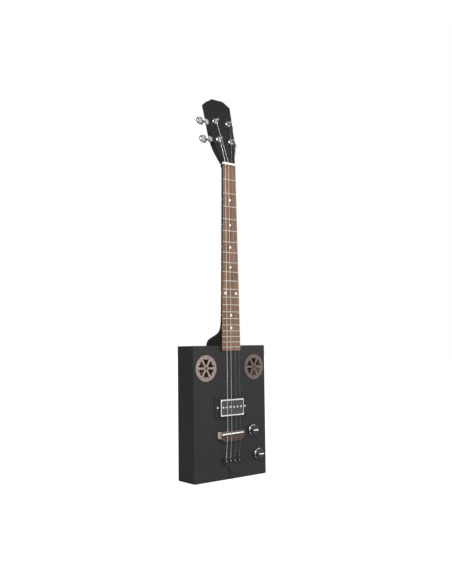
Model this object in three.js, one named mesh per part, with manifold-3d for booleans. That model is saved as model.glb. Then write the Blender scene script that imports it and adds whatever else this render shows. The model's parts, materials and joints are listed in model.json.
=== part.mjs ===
// Cigar box guitar: a flat rectangular box body with a glued-in neck, a tilted
// headstock with four open-geared tuners, one pickup, two controls, a wooden
// bridge and a metal tailpiece.
//
// Millimetres. +Z runs up the neck, the playing face looks along -Y, the thin
// strings are on the +X side. The origin is the centre of the box's flat bottom.
import * as THREE from "three";
import { mergeVertices } from "three/addons/utils/BufferGeometryUtils.js";
import Module from "manifold-3d";

const wasm = await Module();
wasm.setup();

// ---------------------------------------------------------------- sizes
const BODY_W = 209; // across the strings
const BODY_D = 58; // face to back
const BODY_H = 297.5; // along the strings
const FACE_T = 3.5; // soundboard and back thickness
const SIDE_T = 6; // box side thickness
const CORNER_R = 3; // rounding of the box's outline
const FRONT = -BODY_D / 2;
const BACK = BODY_D / 2;

const SCALE = 610; // speaking length of the strings
const SADDLE_Z = 102;
const NUT_Z = SADDLE_Z + SCALE;
const FRETS = 20;

const BOARD_T = 5;
const BOARD_END_Z = 286;
const BOARD_W_NUT = 36.8;
const BOARD_W_END = 53.6;
const FRET_W = 2.2;
const FRET_H = 1.1;
const TANG_W = 0.6;

const NUT_T = 5;
const TENON_W = 24;
const TENON_END_Z = 262;

const TILT = THREE.MathUtils.degToRad(14); // headstock leans back
const HEAD_T = 17.5;
const HEAD_Y = -33; // headstock's front plane starts here, at the nut's back
const HEAD_Z = NUT_Z + NUT_T;
const POST_LOW = [18.5, 57]; // half spacing, distance up the headstock
const POST_HIGH = [19.2, 104];
const POST_R = 3;
const WORM_OFFSET = 9.2; // worm axis above the post axis
const WORM_H = -23.6; // worm axis behind the headstock's front plane
const GEAR_TEETH = 15;

const STRING_R = [0.6, 0.47, 0.34, 0.24];
const STRING_SADDLE_X = [-18.8, -7, 6.8, 19.4];
const STRING_NUT_X = [-13.8, -4.3, 5.7, 14.9];
const STRING_TAIL_X = [-18.5, -6.4, 6, 19.1];
const STRING_NUT_Y = -36.7;
const STRING_SADDLE_Y = -41;
const STRING_TAIL_Y = -34.2;

const SADDLE_X = -2; // middle of the saddle
const SADDLE_HALF = 30.2;
const SADDLE_MID_Z = 101.3;
const SADDLE_SLANT = 0.022;

const HOLE_X = 70; // sound holes
const HOLE_Z = 248;
const HOLE_R = 26;
const GRILLE_R = 29.5;
const GRILLE_T = 1.4;

const PICKUP_Z = 159.5;
const PICKUP_W = 69;
const PICKUP_H = 38.5;
const PICKUP_TOP = FRONT - 6;
const POLE_SPACING = 10.2;
const HEIGHT_SCREW_X = 39.5;

const KNOB_R = 12.9;
const VOLUME_AT = [65, 103];
const TONE_AT = [81, 47.5];

const TAIL_X = 1; // the tailpiece sits a hair to the treble side
const TAIL_TOP_Z = 46;
const TAIL_HALF = 28.5;
const STEM_HALF = 4.5;

const JACK_Z = 75;
const BORE_R = 3.25; // 6.35 mm plug

// ---------------------------------------------------------------- solids
function solidOf(geometry) {
  const g = geometry.index ? geometry.toNonIndexed() : geometry.clone();
  for (const key of Object.keys(g.attributes))
    if (key !== "position") g.deleteAttribute(key);
  const merged = mergeVertices(g, 1e-4);
  return new wasm.Manifold(
    new wasm.Mesh({
      numProp: 3,
      vertProperties: merged.attributes.position.array,
      triVerts: new Uint32Array(merged.index.array),
    }),
  );
}

function geometryOf(manifold) {
  const mesh = manifold.getMesh();
  const stride = mesh.numProp;
  const position = new Float32Array(mesh.numVert * 3);
  for (let i = 0; i < mesh.numVert; i++)
    position.set(
      mesh.vertProperties.subarray(i * stride, i * stride + 3),
      i * 3,
    );
  const indexed = new THREE.BufferGeometry()
    .setAttribute("position", new THREE.BufferAttribute(position, 3))
    .setIndex(new THREE.BufferAttribute(new Uint32Array(mesh.triVerts), 1));
  const flat = indexed.toNonIndexed();
  flat.computeVertexNormals();
  return flat;
}

const join = (first, ...rest) =>
  geometryOf(rest.reduce((a, b) => a.add(solidOf(b)), solidOf(first)));
const cut = (first, ...rest) =>
  geometryOf(rest.reduce((a, b) => a.subtract(solidOf(b)), solidOf(first)));
const common = (first, ...rest) =>
  geometryOf(rest.reduce((a, b) => a.intersect(solidOf(b)), solidOf(first)));

// A box from its lowest to its highest corner.
function box(x0, x1, y0, y1, z0, z1) {
  return new THREE.BoxGeometry(x1 - x0, y1 - y0, z1 - z0).translate(
    (x0 + x1) / 2,
    (y0 + y1) / 2,
    (z0 + z1) / 2,
  );
}

function shapeOf(points) {
  return new THREE.Shape(points.map(([x, y]) => new THREE.Vector2(x, y)));
}

// Plate drawn in X-Z and thick along Y.
function plateY(shape, y0, y1, curveSegments = 8) {
  return new THREE.ExtrudeGeometry(shape, {
    depth: y1 - y0,
    bevelEnabled: false,
    curveSegments,
  })
    .rotateX(Math.PI / 2)
    .translate(0, y1, 0);
}

// Plate drawn in X-Y and thick along Z.
function plateZ(shape, z0, z1, curveSegments = 8) {
  return new THREE.ExtrudeGeometry(shape, {
    depth: z1 - z0,
    bevelEnabled: false,
    curveSegments,
  }).translate(0, 0, z0);
}

// Prism whose section is drawn in Y-Z and which is long along X.
function prismX(points, x0, x1) {
  const g = new THREE.ExtrudeGeometry(shapeOf(points), {
    depth: x1 - x0,
    bevelEnabled: false,
  });
  return g
    .applyMatrix4(
      new THREE.Matrix4().makeBasis(
        new THREE.Vector3(0, 1, 0),
        new THREE.Vector3(0, 0, 1),
        new THREE.Vector3(1, 0, 0),
      ),
    )
    .translate(x0, 0, 0);
}

// Turned piece; profile is [radius, height] along the axis.
function turned(profile, segments) {
  return new THREE.LatheGeometry(
    profile.map(([r, h]) => new THREE.Vector2(r, h)),
    segments,
  );
}
// Axis out of the playing face: height 0 at y0, growing towards the player.
const turnedFront = (profile, segments, x, y0, z) =>
  turned(profile, segments)
    .rotateX(Math.PI)
    .rotateY(Math.PI / segments)
    .translate(x, y0, z);
const turnedZ = (profile, segments, x, y, z0) =>
  turned(profile, segments)
    .rotateX(Math.PI / 2)
    .translate(x, y, z0);
const turnedX = (profile, segments, x0, y, z) =>
  turned(profile, segments)
    .rotateZ(-Math.PI / 2)
    .translate(x0, y, z);

function roundedRect(x0, x1, y0, y1, r, corners = [1, 1, 1, 1]) {
  // corners: low-low, high-low, high-high, low-high
  const s = new THREE.Shape();
  const c = corners.map((on) => (on ? r : 0));
  s.moveTo(x0 + c[0], y0);
  s.lineTo(x1 - c[1], y0);
  if (c[1]) s.absarc(x1 - r, y0 + r, r, -Math.PI / 2, 0, false);
  s.lineTo(x1, y1 - c[2]);
  if (c[2]) s.absarc(x1 - r, y1 - r, r, 0, Math.PI / 2, false);
  s.lineTo(x0 + c[3], y1);
  if (c[3]) s.absarc(x0 + r, y1 - r, r, Math.PI / 2, Math.PI, false);
  s.lineTo(x0, y0 + c[0]);
  if (c[0]) s.absarc(x0 + r, y0 + r, r, Math.PI, 1.5 * Math.PI, false);
  return s;
}

// Closed skin through equal rings of points, with flat ends.
function loft(rings) {
  const n = rings[0].length;
  const position = [];
  for (const ring of rings) for (const p of ring) position.push(...p);
  const index = [];
  for (let r = 0; r + 1 < rings.length; r++)
    for (let i = 0; i < n; i++) {
      const a = r * n + i;
      const b = r * n + ((i + 1) % n);
      index.push(a, b, b + n, a, b + n, a + n);
    }
  const last = (rings.length - 1) * n;
  for (let i = 1; i + 1 < n; i++) {
    index.push(0, i + 1, i);
    index.push(last, last + i, last + i + 1);
  }
  let volume = 0;
  const at = (i) =>
    new THREE.Vector3(position[3 * i], position[3 * i + 1], position[3 * i + 2]);
  for (let i = 0; i < index.length; i += 3)
    volume += at(index[i]).dot(at(index[i + 1]).cross(at(index[i + 2])));
  if (volume < 0)
    for (let i = 0; i < index.length; i += 3)
      [index[i + 1], index[i + 2]] = [index[i + 2], index[i + 1]];
  return new THREE.BufferGeometry()
    .setAttribute(
      "position",
      new THREE.BufferAttribute(new Float32Array(position), 3),
    )
    .setIndex(index)
    .toNonIndexed();
}

// A curve that passes through exactly the points given, one section at each.
class Route extends THREE.Curve {
  constructor(points) {
    super();
    this.points = points.map((p) => new THREE.Vector3(...p));
  }
  index(t) {
    return Math.round(t * (this.points.length - 1));
  }
  getPoint(t, target = new THREE.Vector3()) {
    return target.copy(this.points[this.index(t)]);
  }
  getPointAt(t, target) {
    return this.getPoint(t, target);
  }
  getTangent(t, target = new THREE.Vector3()) {
    const i = this.index(t);
    const a = this.points[Math.max(i - 1, 0)];
    const b = this.points[i];
    const c = this.points[Math.min(i + 1, this.points.length - 1)];
    const u = b.clone().sub(a);
    const v = c.clone().sub(b);
    if (u.length() > 0) u.normalize();
    if (v.length() > 0) v.normalize();
    return target.copy(u.add(v).normalize());
  }
  getTangentAt(t, target) {
    return this.getTangent(t, target);
  }
}

function tube(points, radius, sides = 6) {
  const section = shapeOf(
    Array.from({ length: sides }, (_, i) => {
      const a = (2 * Math.PI * i) / sides;
      return [radius * Math.cos(a), radius * Math.sin(a)];
    }),
  );
  return new THREE.ExtrudeGeometry(section, {
    steps: points.length - 1,
    extrudePath: new Route(points),
    bevelEnabled: false,
  });
}

// ---------------------------------------------------------------- materials
const material = (color, roughness, metalness) =>
  new THREE.MeshStandardMaterial({ color, roughness, metalness });
const SATIN_BLACK = material(0x2b2b2b, 0.45, 0);
const GLOSS_BLACK = material(0x151515, 0.18, 0);
const RAW_WOOD = material(0x7a5f47, 0.75, 0);
const ROSEWOOD = material(0x8a6c55, 0.55, 0);
const BRIDGE_WOOD = material(0x5a4440, 0.5, 0);
const BONE = material(0xf4efe6, 0.35, 0);
const NICKEL = material(0xc9c6c0, 0.25, 1);
const CHROME = material(0xdcdcdc, 0.12, 1);
const ANTIQUE = material(0x9c8985, 0.4, 1);
const BLACK_PLASTIC = material(0x181818, 0.3, 0);
const BLACK_METAL = material(0x1c1c1c, 0.35, 0.6);
const STEEL = material(0xb5b5b5, 0.3, 1);
const BRONZE = material(0xb59a6d, 0.35, 1);
const COPPER = material(0x8d4f2c, 0.4, 0.8);
const CERAMIC = material(0xb5651d, 0.5, 0);
const WIRE = material(0x222222, 0.6, 0);

const guitar = new THREE.Group();
function add(name, geometry, mat, parent = guitar) {
  const mesh = new THREE.Mesh(geometry, mat);
  mesh.name = name;
  parent.add(mesh);
  return mesh;
}

// ---------------------------------------------------------------- box body
const halfW = BODY_W / 2;
const innerFront = FRONT + FACE_T;
const innerBack = BACK - FACE_T;

// Recess under the bottom edge that takes the tailpiece's folded tab.
const tabRecess = () =>
  box(
    TAIL_X - STEM_HALF - 0.4,
    TAIL_X + STEM_HALF + 0.4,
    FRONT - 1,
    -7,
    -1,
    2.1,
  );

{
  const outline = roundedRect(-halfW, halfW, 0, BODY_H, CORNER_R);
  const plate = plateY(outline, FRONT, innerFront, 4);
  const throughFront = (r, x, z, seg) =>
    turnedFront(
      [
        [0, 0],
        [r, 0],
        [r, FACE_T + 4],
        [0, FACE_T + 4],
      ],
      seg,
      x,
      innerFront + 2,
      z,
    );
  // Cut-out for the pickup, with side notches for the baseplate's ears.
  const pocket = shapeOf([
    [-35.7, PICKUP_Z - 20.4],
    [35.7, PICKUP_Z - 20.4],
    [35.7, PICKUP_Z - 7.2],
    [43.4, PICKUP_Z - 7.2],
    [43.4, PICKUP_Z + 7.2],
    [35.7, PICKUP_Z + 7.2],
    [35.7, PICKUP_Z + 20.4],
    [-35.7, PICKUP_Z + 20.4],
    [-35.7, PICKUP_Z + 7.2],
    [-43.4, PICKUP_Z + 7.2],
    [-43.4, PICKUP_Z - 7.2],
    [-35.7, PICKUP_Z - 7.2],
  ]);
  add(
    "soundboard",
    cut(
      plate,
      throughFront(HOLE_R, -HOLE_X, HOLE_Z, 24),
      throughFront(HOLE_R, HOLE_X, HOLE_Z, 24),
      throughFront(4.9, ...VOLUME_AT, 12),
      throughFront(4.9, ...TONE_AT, 12),
      plateY(pocket, FRONT - 1, innerFront + 1),
      tabRecess(),
    ),
    SATIN_BLACK,
  );
  add("back_panel", plateY(outline, innerBack, BACK, 4), SATIN_BLACK);
}

add(
  "side_bass",
  box(-halfW, -halfW + SIDE_T, innerFront, innerBack, SIDE_T, BODY_H - SIDE_T),
  SATIN_BLACK,
);
add(
  "side_treble",
  cut(
    box(halfW - SIDE_T, halfW, innerFront, innerBack, SIDE_T, BODY_H - SIDE_T),
    turnedX(
      [
        [0, 0],
        [5, 0],
        [5, SIDE_T + 4],
        [0, SIDE_T + 4],
      ],
      16,
      halfW - SIDE_T - 2,
      0,
      JACK_Z,
    ),
  ),
  SATIN_BLACK,
);
// The neck's tenon and the mortise round it, 0.3 mm clear all over.
const tenon = [-TENON_W / 2, TENON_W / 2, -20, 10, TENON_END_Z, BODY_H + 0.5];
const mortise = [
  tenon[0] - 0.3,
  tenon[1] + 0.3,
  tenon[2] - 0.3,
  tenon[3] + 0.3,
  TENON_END_Z - 0.3,
  BODY_H + 1,
];
add(
  "side_top",
  cut(
    plateY(
      roundedRect(
        -halfW,
        halfW,
        BODY_H - SIDE_T,
        BODY_H,
        CORNER_R,
        [0, 0, 1, 1],
      ),
      innerFront,
      innerBack,
      4,
    ),
    box(...mortise),
  ),
  SATIN_BLACK,
);
const tabScrewY = -15;
const screwHole = (z0, z1) =>
  turnedZ(
    [
      [0, 0],
      [1.8, 0],
      [1.8, z1 - z0],
      [0, z1 - z0],
    ],
    10,
    TAIL_X,
    tabScrewY,
    z0,
  );
add(
  "side_bottom",
  cut(
    plateY(
      roundedRect(-halfW, halfW, 0, SIDE_T, CORNER_R, [1, 1, 0, 0]),
      innerFront,
      innerBack,
      4,
    ),
    tabRecess(),
    screwHole(-1, SIDE_T + 1),
  ),
  SATIN_BLACK,
);
add(
  "neck_block",
  cut(
    box(-32, 32, innerFront, innerBack, 251.5, BODY_H - SIDE_T),
    box(...mortise),
  ),
  RAW_WOOD,
);
add(
  "tail_block",
  cut(
    box(-26, 26, innerFront, innerBack, SIDE_T, 26),
    screwHole(SIDE_T - 1, 20),
  ),
  RAW_WOOD,
);
add(
  "soundboard_brace",
  box(-halfW + SIDE_T, halfW - SIDE_T, innerFront, innerFront + 9, 124, 132),
  RAW_WOOD,
);

// Pierced discs over the two sound holes: six arrow-shaped openings and a
// small centre hole.
function grille(x) {
  const disc = new THREE.Shape().absarc(x, HOLE_Z, GRILLE_R, 0, 2 * Math.PI);
  const opening = [
    [0, 0.185],
    [0.085, 0.3],
    [0.165, 0.45],
    [0.23, 0.6],
    [0.258, 0.68],
    [0.21, 0.705],
    [0.1, 0.668],
    [0, 0.645],
    [-0.1, 0.668],
    [-0.21, 0.705],
    [-0.258, 0.68],
    [-0.23, 0.6],
    [-0.165, 0.45],
    [-0.085, 0.3],
  ];
  for (let k = 0; k < 6; k++) {
    const a = (k * Math.PI) / 3;
    disc.holes.push(
      new THREE.Path(
        opening.map(
          ([u, v]) =>
            new THREE.Vector2(
              x + GRILLE_R * (u * Math.cos(a) - v * Math.sin(a)),
              HOLE_Z + GRILLE_R * (u * Math.sin(a) + v * Math.cos(a)),
            ),
        ),
      ),
    );
  }
  const eye = Array.from({ length: 8 }, (_, k) => {
    const a = (k * Math.PI) / 4;
    return new THREE.Vector2(x + 1.4 * Math.cos(a), HOLE_Z + 1.4 * Math.sin(a));
  });
  disc.holes.push(new THREE.Path(eye));
  return plateY(disc, FRONT - GRILLE_T, FRONT, 16);
}
add("grille_bass", grille(-HOLE_X), ANTIQUE);
add("grille_treble", grille(HOLE_X), ANTIQUE);

// ---------------------------------------------------------------- neck
const boardHalf = (z) =>
  (BOARD_W_NUT +
    ((BOARD_W_END - BOARD_W_NUT) * (NUT_Z - z)) / (NUT_Z - BOARD_END_Z)) /
  2;

// Headstock frame: x across, v up its face, h out of its face.
const headFrame = new THREE.Matrix4()
  .makeBasis(
    new THREE.Vector3(1, 0, 0),
    new THREE.Vector3(0, Math.sin(TILT), Math.cos(TILT)),
    new THREE.Vector3(0, -Math.cos(TILT), Math.sin(TILT)),
  )
  .setPosition(0, HEAD_Y, HEAD_Z);
const headPoint = (x, v, h) =>
  new THREE.Vector3(x, v, h).applyMatrix4(headFrame).toArray();

// How far the headstock reaches to the treble and to the bass side at a
// distance v above the nut: [v, treble, bass]. It leans a little to the bass.
const HEAD_OUTLINE = [
  [-6, 18.3, 18.3],
  [0, 18.4, 18.4],
  [6, 18.9, 18.9],
  [13, 20.2, 20.3],
  [21, 22.6, 23.1],
  [30, 25.6, 26.9],
  [39, 28, 30.1],
  [48, 29.6, 32.5],
  [59, 30.5, 34.3],
  [75, 30.5, 35.8],
  [95, 31.4, 36.5],
  [125, 33.2, 36.7],
  [151, 34.2, 37.8],
];
const headEdges = (v) => {
  for (let i = 1; i < HEAD_OUTLINE.length; i++) {
    const [v0, t0, b0] = HEAD_OUTLINE[i - 1];
    const [v1, t1, b1] = HEAD_OUTLINE[i];
    const share = (v - v0) / (v1 - v0);
    if (v <= v1) return [t0 + (t1 - t0) * share, b0 + (b1 - b0) * share];
  }
  return HEAD_OUTLINE.at(-1).slice(1);
};

// Rounded section of the neck: flat at depth 0, full depth at the middle.
// across and down shape the curve: 1 is a circle's, towards 0 is a square's,
// and over 1 leaves the edge at a slant.
const SECTION_STEPS = 12;
function section(half, depth, across, down, place) {
  const ring = [];
  for (let i = 0; i <= SECTION_STEPS; i++) {
    const a = (Math.PI * i) / SECTION_STEPS;
    const c = Math.abs(Math.cos(a)) < 1e-9 ? 0 : Math.cos(a);
    const s = Math.abs(Math.sin(a));
    ring.push(
      place(
        half * Math.sign(c) * Math.abs(c) ** across,
        depth * (s < 1e-9 ? 0 : s ** down),
      ),
    );
  }
  return ring;
}

{
  // [z, depth below the fretboard, across, down, width share]
  const along = [
    [BODY_H, 57.6, 0.13, 0.13, 1],
    [301, 57.4, 0.13, 0.13, 1],
    [305, 56.2, 0.15, 0.15, 1],
    [309, 53.8, 0.18, 0.18, 1],
    [312.5, 50, 0.22, 0.22, 1],
    [315.5, 44.8, 0.28, 0.28, 1],
    [318.5, 38.2, 0.36, 0.36, 1],
    [322, 30.8, 0.48, 0.5, 1],
    [326.5, 24, 0.64, 0.74, 1],
    [332, 19.4, 0.8, 1, 1],
    [340, 16.8, 0.9, 1.2, 1],
    [352, 14.6, 0.97, 1.4, 1],
    [406, 13.4, 1, 1.55, 1],
    [560, 12.6, 1, 1.6, 1],
    [680, 12, 1, 1.6, 1],
    [703, 12.1, 1, 1.5, 1],
    [710, 14.4, 0.88, 1, 1],
  ];
  const rings = along.map(([z, depth, across, down, share]) =>
    section(boardHalf(z) * share, depth, across, down, (x, s) => [
      x,
      FRONT + s,
      z,
    ]),
  );
  // The round back runs out into the flat back of the headstock.
  const runOut = [
    [0, 16.6, 0.68, 0.74],
    [5, 17.6, 0.48, 0.52],
    [11, 18, 0.34, 0.36],
    [18, 18, 0.24, 0.24],
    [28, 17.8, 0.17, 0.17],
    [42, HEAD_T, 0.13, 0.13],
  ];
  for (const [v, depth, across, down] of runOut) {
    const [treble, bass] = headEdges(v);
    rings.push(
      section((treble + bass) / 2, depth, across, down, (x, s) =>
        headPoint(x + (treble - bass) / 2, v, -s),
      ),
    );
  }
  const shaft = loft(rings);

  const crown = [
    [152.2, 31, 36],
    [155, 26.8, 30.5],
    [158.8, 21.6, 24.6],
    [162, 15.8, 20],
    [163, 12, 16.8],
  ];
  const side = [...HEAD_OUTLINE.filter(([v]) => v >= 35), ...crown];
  const paddle = plateZ(
    shapeOf([
      ...side.map(([v, treble]) => [treble, v]),
      ...side.toReversed().map(([v, , bass]) => [-bass, v]),
    ]),
    -HEAD_T,
    0,
  ).applyMatrix4(headFrame);

  const hole = (x, v) =>
    turnedZ(
      [
        [0, 0],
        [5, 0],
        [5, HEAD_T + 4],
        [0, HEAD_T + 4],
      ],
      12,
      x,
      v,
      -HEAD_T - 2,
    ).applyMatrix4(headFrame);
  const posts = [POST_LOW, POST_HIGH].flatMap(([x, v]) => [
    hole(x, v),
    hole(-x, v),
  ]);
  const whole = join(shaft, paddle, box(...tenon));
  add(
    "neck",
    cut(
      whole,
      box(-40, 40, -60, FRONT, 200, NUT_Z), // seat of the fretboard
      box(-40, 40, -60, -31, NUT_Z - 0.1, HEAD_Z + 0.1), // seat of the nut
      ...posts,
    ),
    GLOSS_BLACK,
  );
}

const fretZ = (n) => SADDLE_Z + SCALE * 2 ** (-n / 12);
{
  const top = FRONT - BOARD_T;
  const blank = plateY(
    shapeOf([
      [-BOARD_W_END / 2, BOARD_END_Z],
      [BOARD_W_END / 2, BOARD_END_Z],
      [BOARD_W_NUT / 2, NUT_Z],
      [-BOARD_W_NUT / 2, NUT_Z],
    ]),
    top,
    FRONT,
  );
  const slots = [];
  const frets = [];
  for (let n = 1; n <= FRETS; n++) {
    const z = fretZ(n);
    const half = boardHalf(z);
    slots.push(
      box(-half - 1, half + 1, top - 1, top + 2.6, z - 0.6, z + 0.6),
    );
    // crown on the board, tang in the slot
    const t = TANG_W / 2;
    const w = FRET_W / 2;
    frets.push(
      prismX(
        [
          [top + 2.3, z - t],
          [top + 2.3, z + t],
          [top, z + t],
          [top, z + w],
          [top - FRET_H, z + 0.45 * w],
          [top - FRET_H, z - 0.45 * w],
          [top, z - w],
          [top, z - t],
        ],
        -half + 0.3,
        half - 0.3,
      ),
    );
  }
  // The frets are held as one set by a thin strip in a channel under the board.
  const spine = box(
    -0.9,
    0.9,
    top + 2.1,
    top + 3.2,
    fretZ(FRETS) - 1,
    fretZ(1) + 1,
  );
  const channel = box(
    -1.2,
    1.2,
    top + 1.8,
    FRONT + 1,
    fretZ(FRETS) - 1.4,
    fretZ(1) + 1.4,
  );
  add("fretboard", cut(blank, channel, ...slots), ROSEWOOD);
  add("frets", join(spine, ...frets), NICKEL);
}

{
  const half = BOARD_W_NUT / 2 + 0.3;
  const body = prismX(
    [
      [-31, NUT_Z],
      [-31, HEAD_Z],
      [-36, HEAD_Z],
      [-36.8, HEAD_Z - 1.2],
      [-37.1, NUT_Z + 1.4],
      [-36.9, NUT_Z],
    ],
    -half,
    half,
  );
  const slots = STRING_NUT_X.map((x, i) => {
    const w = STRING_R[i] + 0.3;
    return box(
      x - w,
      x + w,
      -40,
      STRING_NUT_Y + STRING_R[i] + 0.3,
      NUT_Z - 1,
      HEAD_Z + 1,
    );
  });
  add("nut", cut(body, ...slots), BONE);
}

// ---------------------------------------------------------------- bridge
{
  const section = prismX(
    [
      [FRONT, 83.5],
      [FRONT, 106.5],
      [FRONT - 8.6, 106.5],
      [FRONT - 9.6, 105.4],
      [FRONT - 9.6, 97.4],
      [FRONT - 4, 84.2],
      [FRONT - 2.4, 83.5],
    ],
    -40,
    40,
  );
  const plan = plateY(
    shapeOf([
      [-38.2, 106.5],
      [-38.2, 92.6],
      [-22, 83.5],
      [22, 83.5],
      [38.2, 92.6],
      [38.2, 106.5],
    ]),
    FRONT - 12,
    FRONT,
  );
  // The ends run down from the top to a thin wing.
  const ends = plateZ(
    shapeOf([
      [-38.2, FRONT],
      [38.2, FRONT],
      [38.2, FRONT - 2.6],
      [33.4, FRONT - 9.7],
      [-33.4, FRONT - 9.7],
      [-38.2, FRONT - 2.6],
    ]),
    80,
    110,
  );
  // The saddle leans a little: its bass end is nearer the tailpiece.
  const slanted = (g) =>
    g
      .translate(-SADDLE_X, 0, -SADDLE_MID_Z)
      .rotateY(-SADDLE_SLANT)
      .translate(SADDLE_X, 0, SADDLE_MID_Z);
  const x0 = SADDLE_X - SADDLE_HALF;
  const x1 = SADDLE_X + SADDLE_HALF;
  const z0 = SADDLE_MID_Z - 1.5;
  const z1 = SADDLE_MID_Z + 1.5;
  const slot = slanted(
    box(x0 - 0.3, x1 + 0.3, -45, FRONT - 4.7, z0 - 0.3, z1 + 0.3),
  );
  add("bridge", cut(common(section, plan, ends), slot), BRIDGE_WOOD);
  const crest = STRING_SADDLE_Y + 0.9;
  add(
    "saddle",
    slanted(
      prismX(
        [
          [FRONT - 5, z0],
          [FRONT - 5, z1],
          [crest + 0.6, z1],
          [crest + 0.15, z1 - 0.6],
          [crest, SADDLE_MID_Z],
          [crest + 0.15, z0 + 0.6],
          [crest + 0.6, z0],
        ],
        x0,
        x1,
      ),
    ),
    BONE,
  );
}

// ---------------------------------------------------------------- tailpiece
{
  const t = 1.5;
  const y0 = FRONT - 0.2 - t; // outer face of the plate
  const y1 = FRONT - 0.2;
  const half = [
    [STEM_HALF, 0.2],
    [STEM_HALF, 12],
    [5, 17],
    [6.6, 20.6],
    [10, 24.4],
    [14.6, 28],
    [19.6, 31.4],
    [24, 34.8],
    [26.8, 37],
    [TAIL_HALF, 37.8],
    [TAIL_HALF, TAIL_TOP_Z],
  ];
  const plate = plateY(
    shapeOf([
      ...half.map(([w, z]) => [TAIL_X + w, z]),
      ...half.toReversed().map(([w, z]) => [TAIL_X - w, z]),
    ]),
    y0,
    y1,
  );
  const lip = box(
    TAIL_X - TAIL_HALF,
    TAIL_X + TAIL_HALF,
    FRONT - 8.6,
    y1,
    TAIL_TOP_Z - 2,
    TAIL_TOP_Z,
  );
  const tab = box(
    TAIL_X - STEM_HALF,
    TAIL_X + STEM_HALF,
    y0,
    -8,
    0.2,
    0.2 + t,
  );
  const holes = STRING_TAIL_X.map((x, i) =>
    turnedZ(
      [
        [0, 0],
        [STRING_R[i] + 0.35, 0],
        [STRING_R[i] + 0.35, 6],
        [0, 6],
      ],
      10,
      x,
      STRING_TAIL_Y,
      TAIL_TOP_Z - 4,
    ),
  );
  // countersunk hole for the screw that holds the tab under the body
  const sink = turnedZ(
    [
      [0, -0.5],
      [3.6, -0.5],
      [3.6, 0.2],
      [1.9, 1.9],
      [0, 1.9],
    ],
    12,
    TAIL_X,
    tabScrewY,
    0,
  );
  add(
    "tailpiece",
    cut(join(plate, lip, tab), ...holes, sink),
    BLACK_METAL,
  );
  add(
    "tailpiece_screw",
    turnedZ(
      [
        [0, 0.3],
        [3, 0.3],
        [1.5, 1.8],
        [1.5, 17],
        [0, 19],
      ],
      12,
      TAIL_X,
      tabScrewY,
      0,
    ),
    BLACK_METAL,
  );
}

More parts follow.
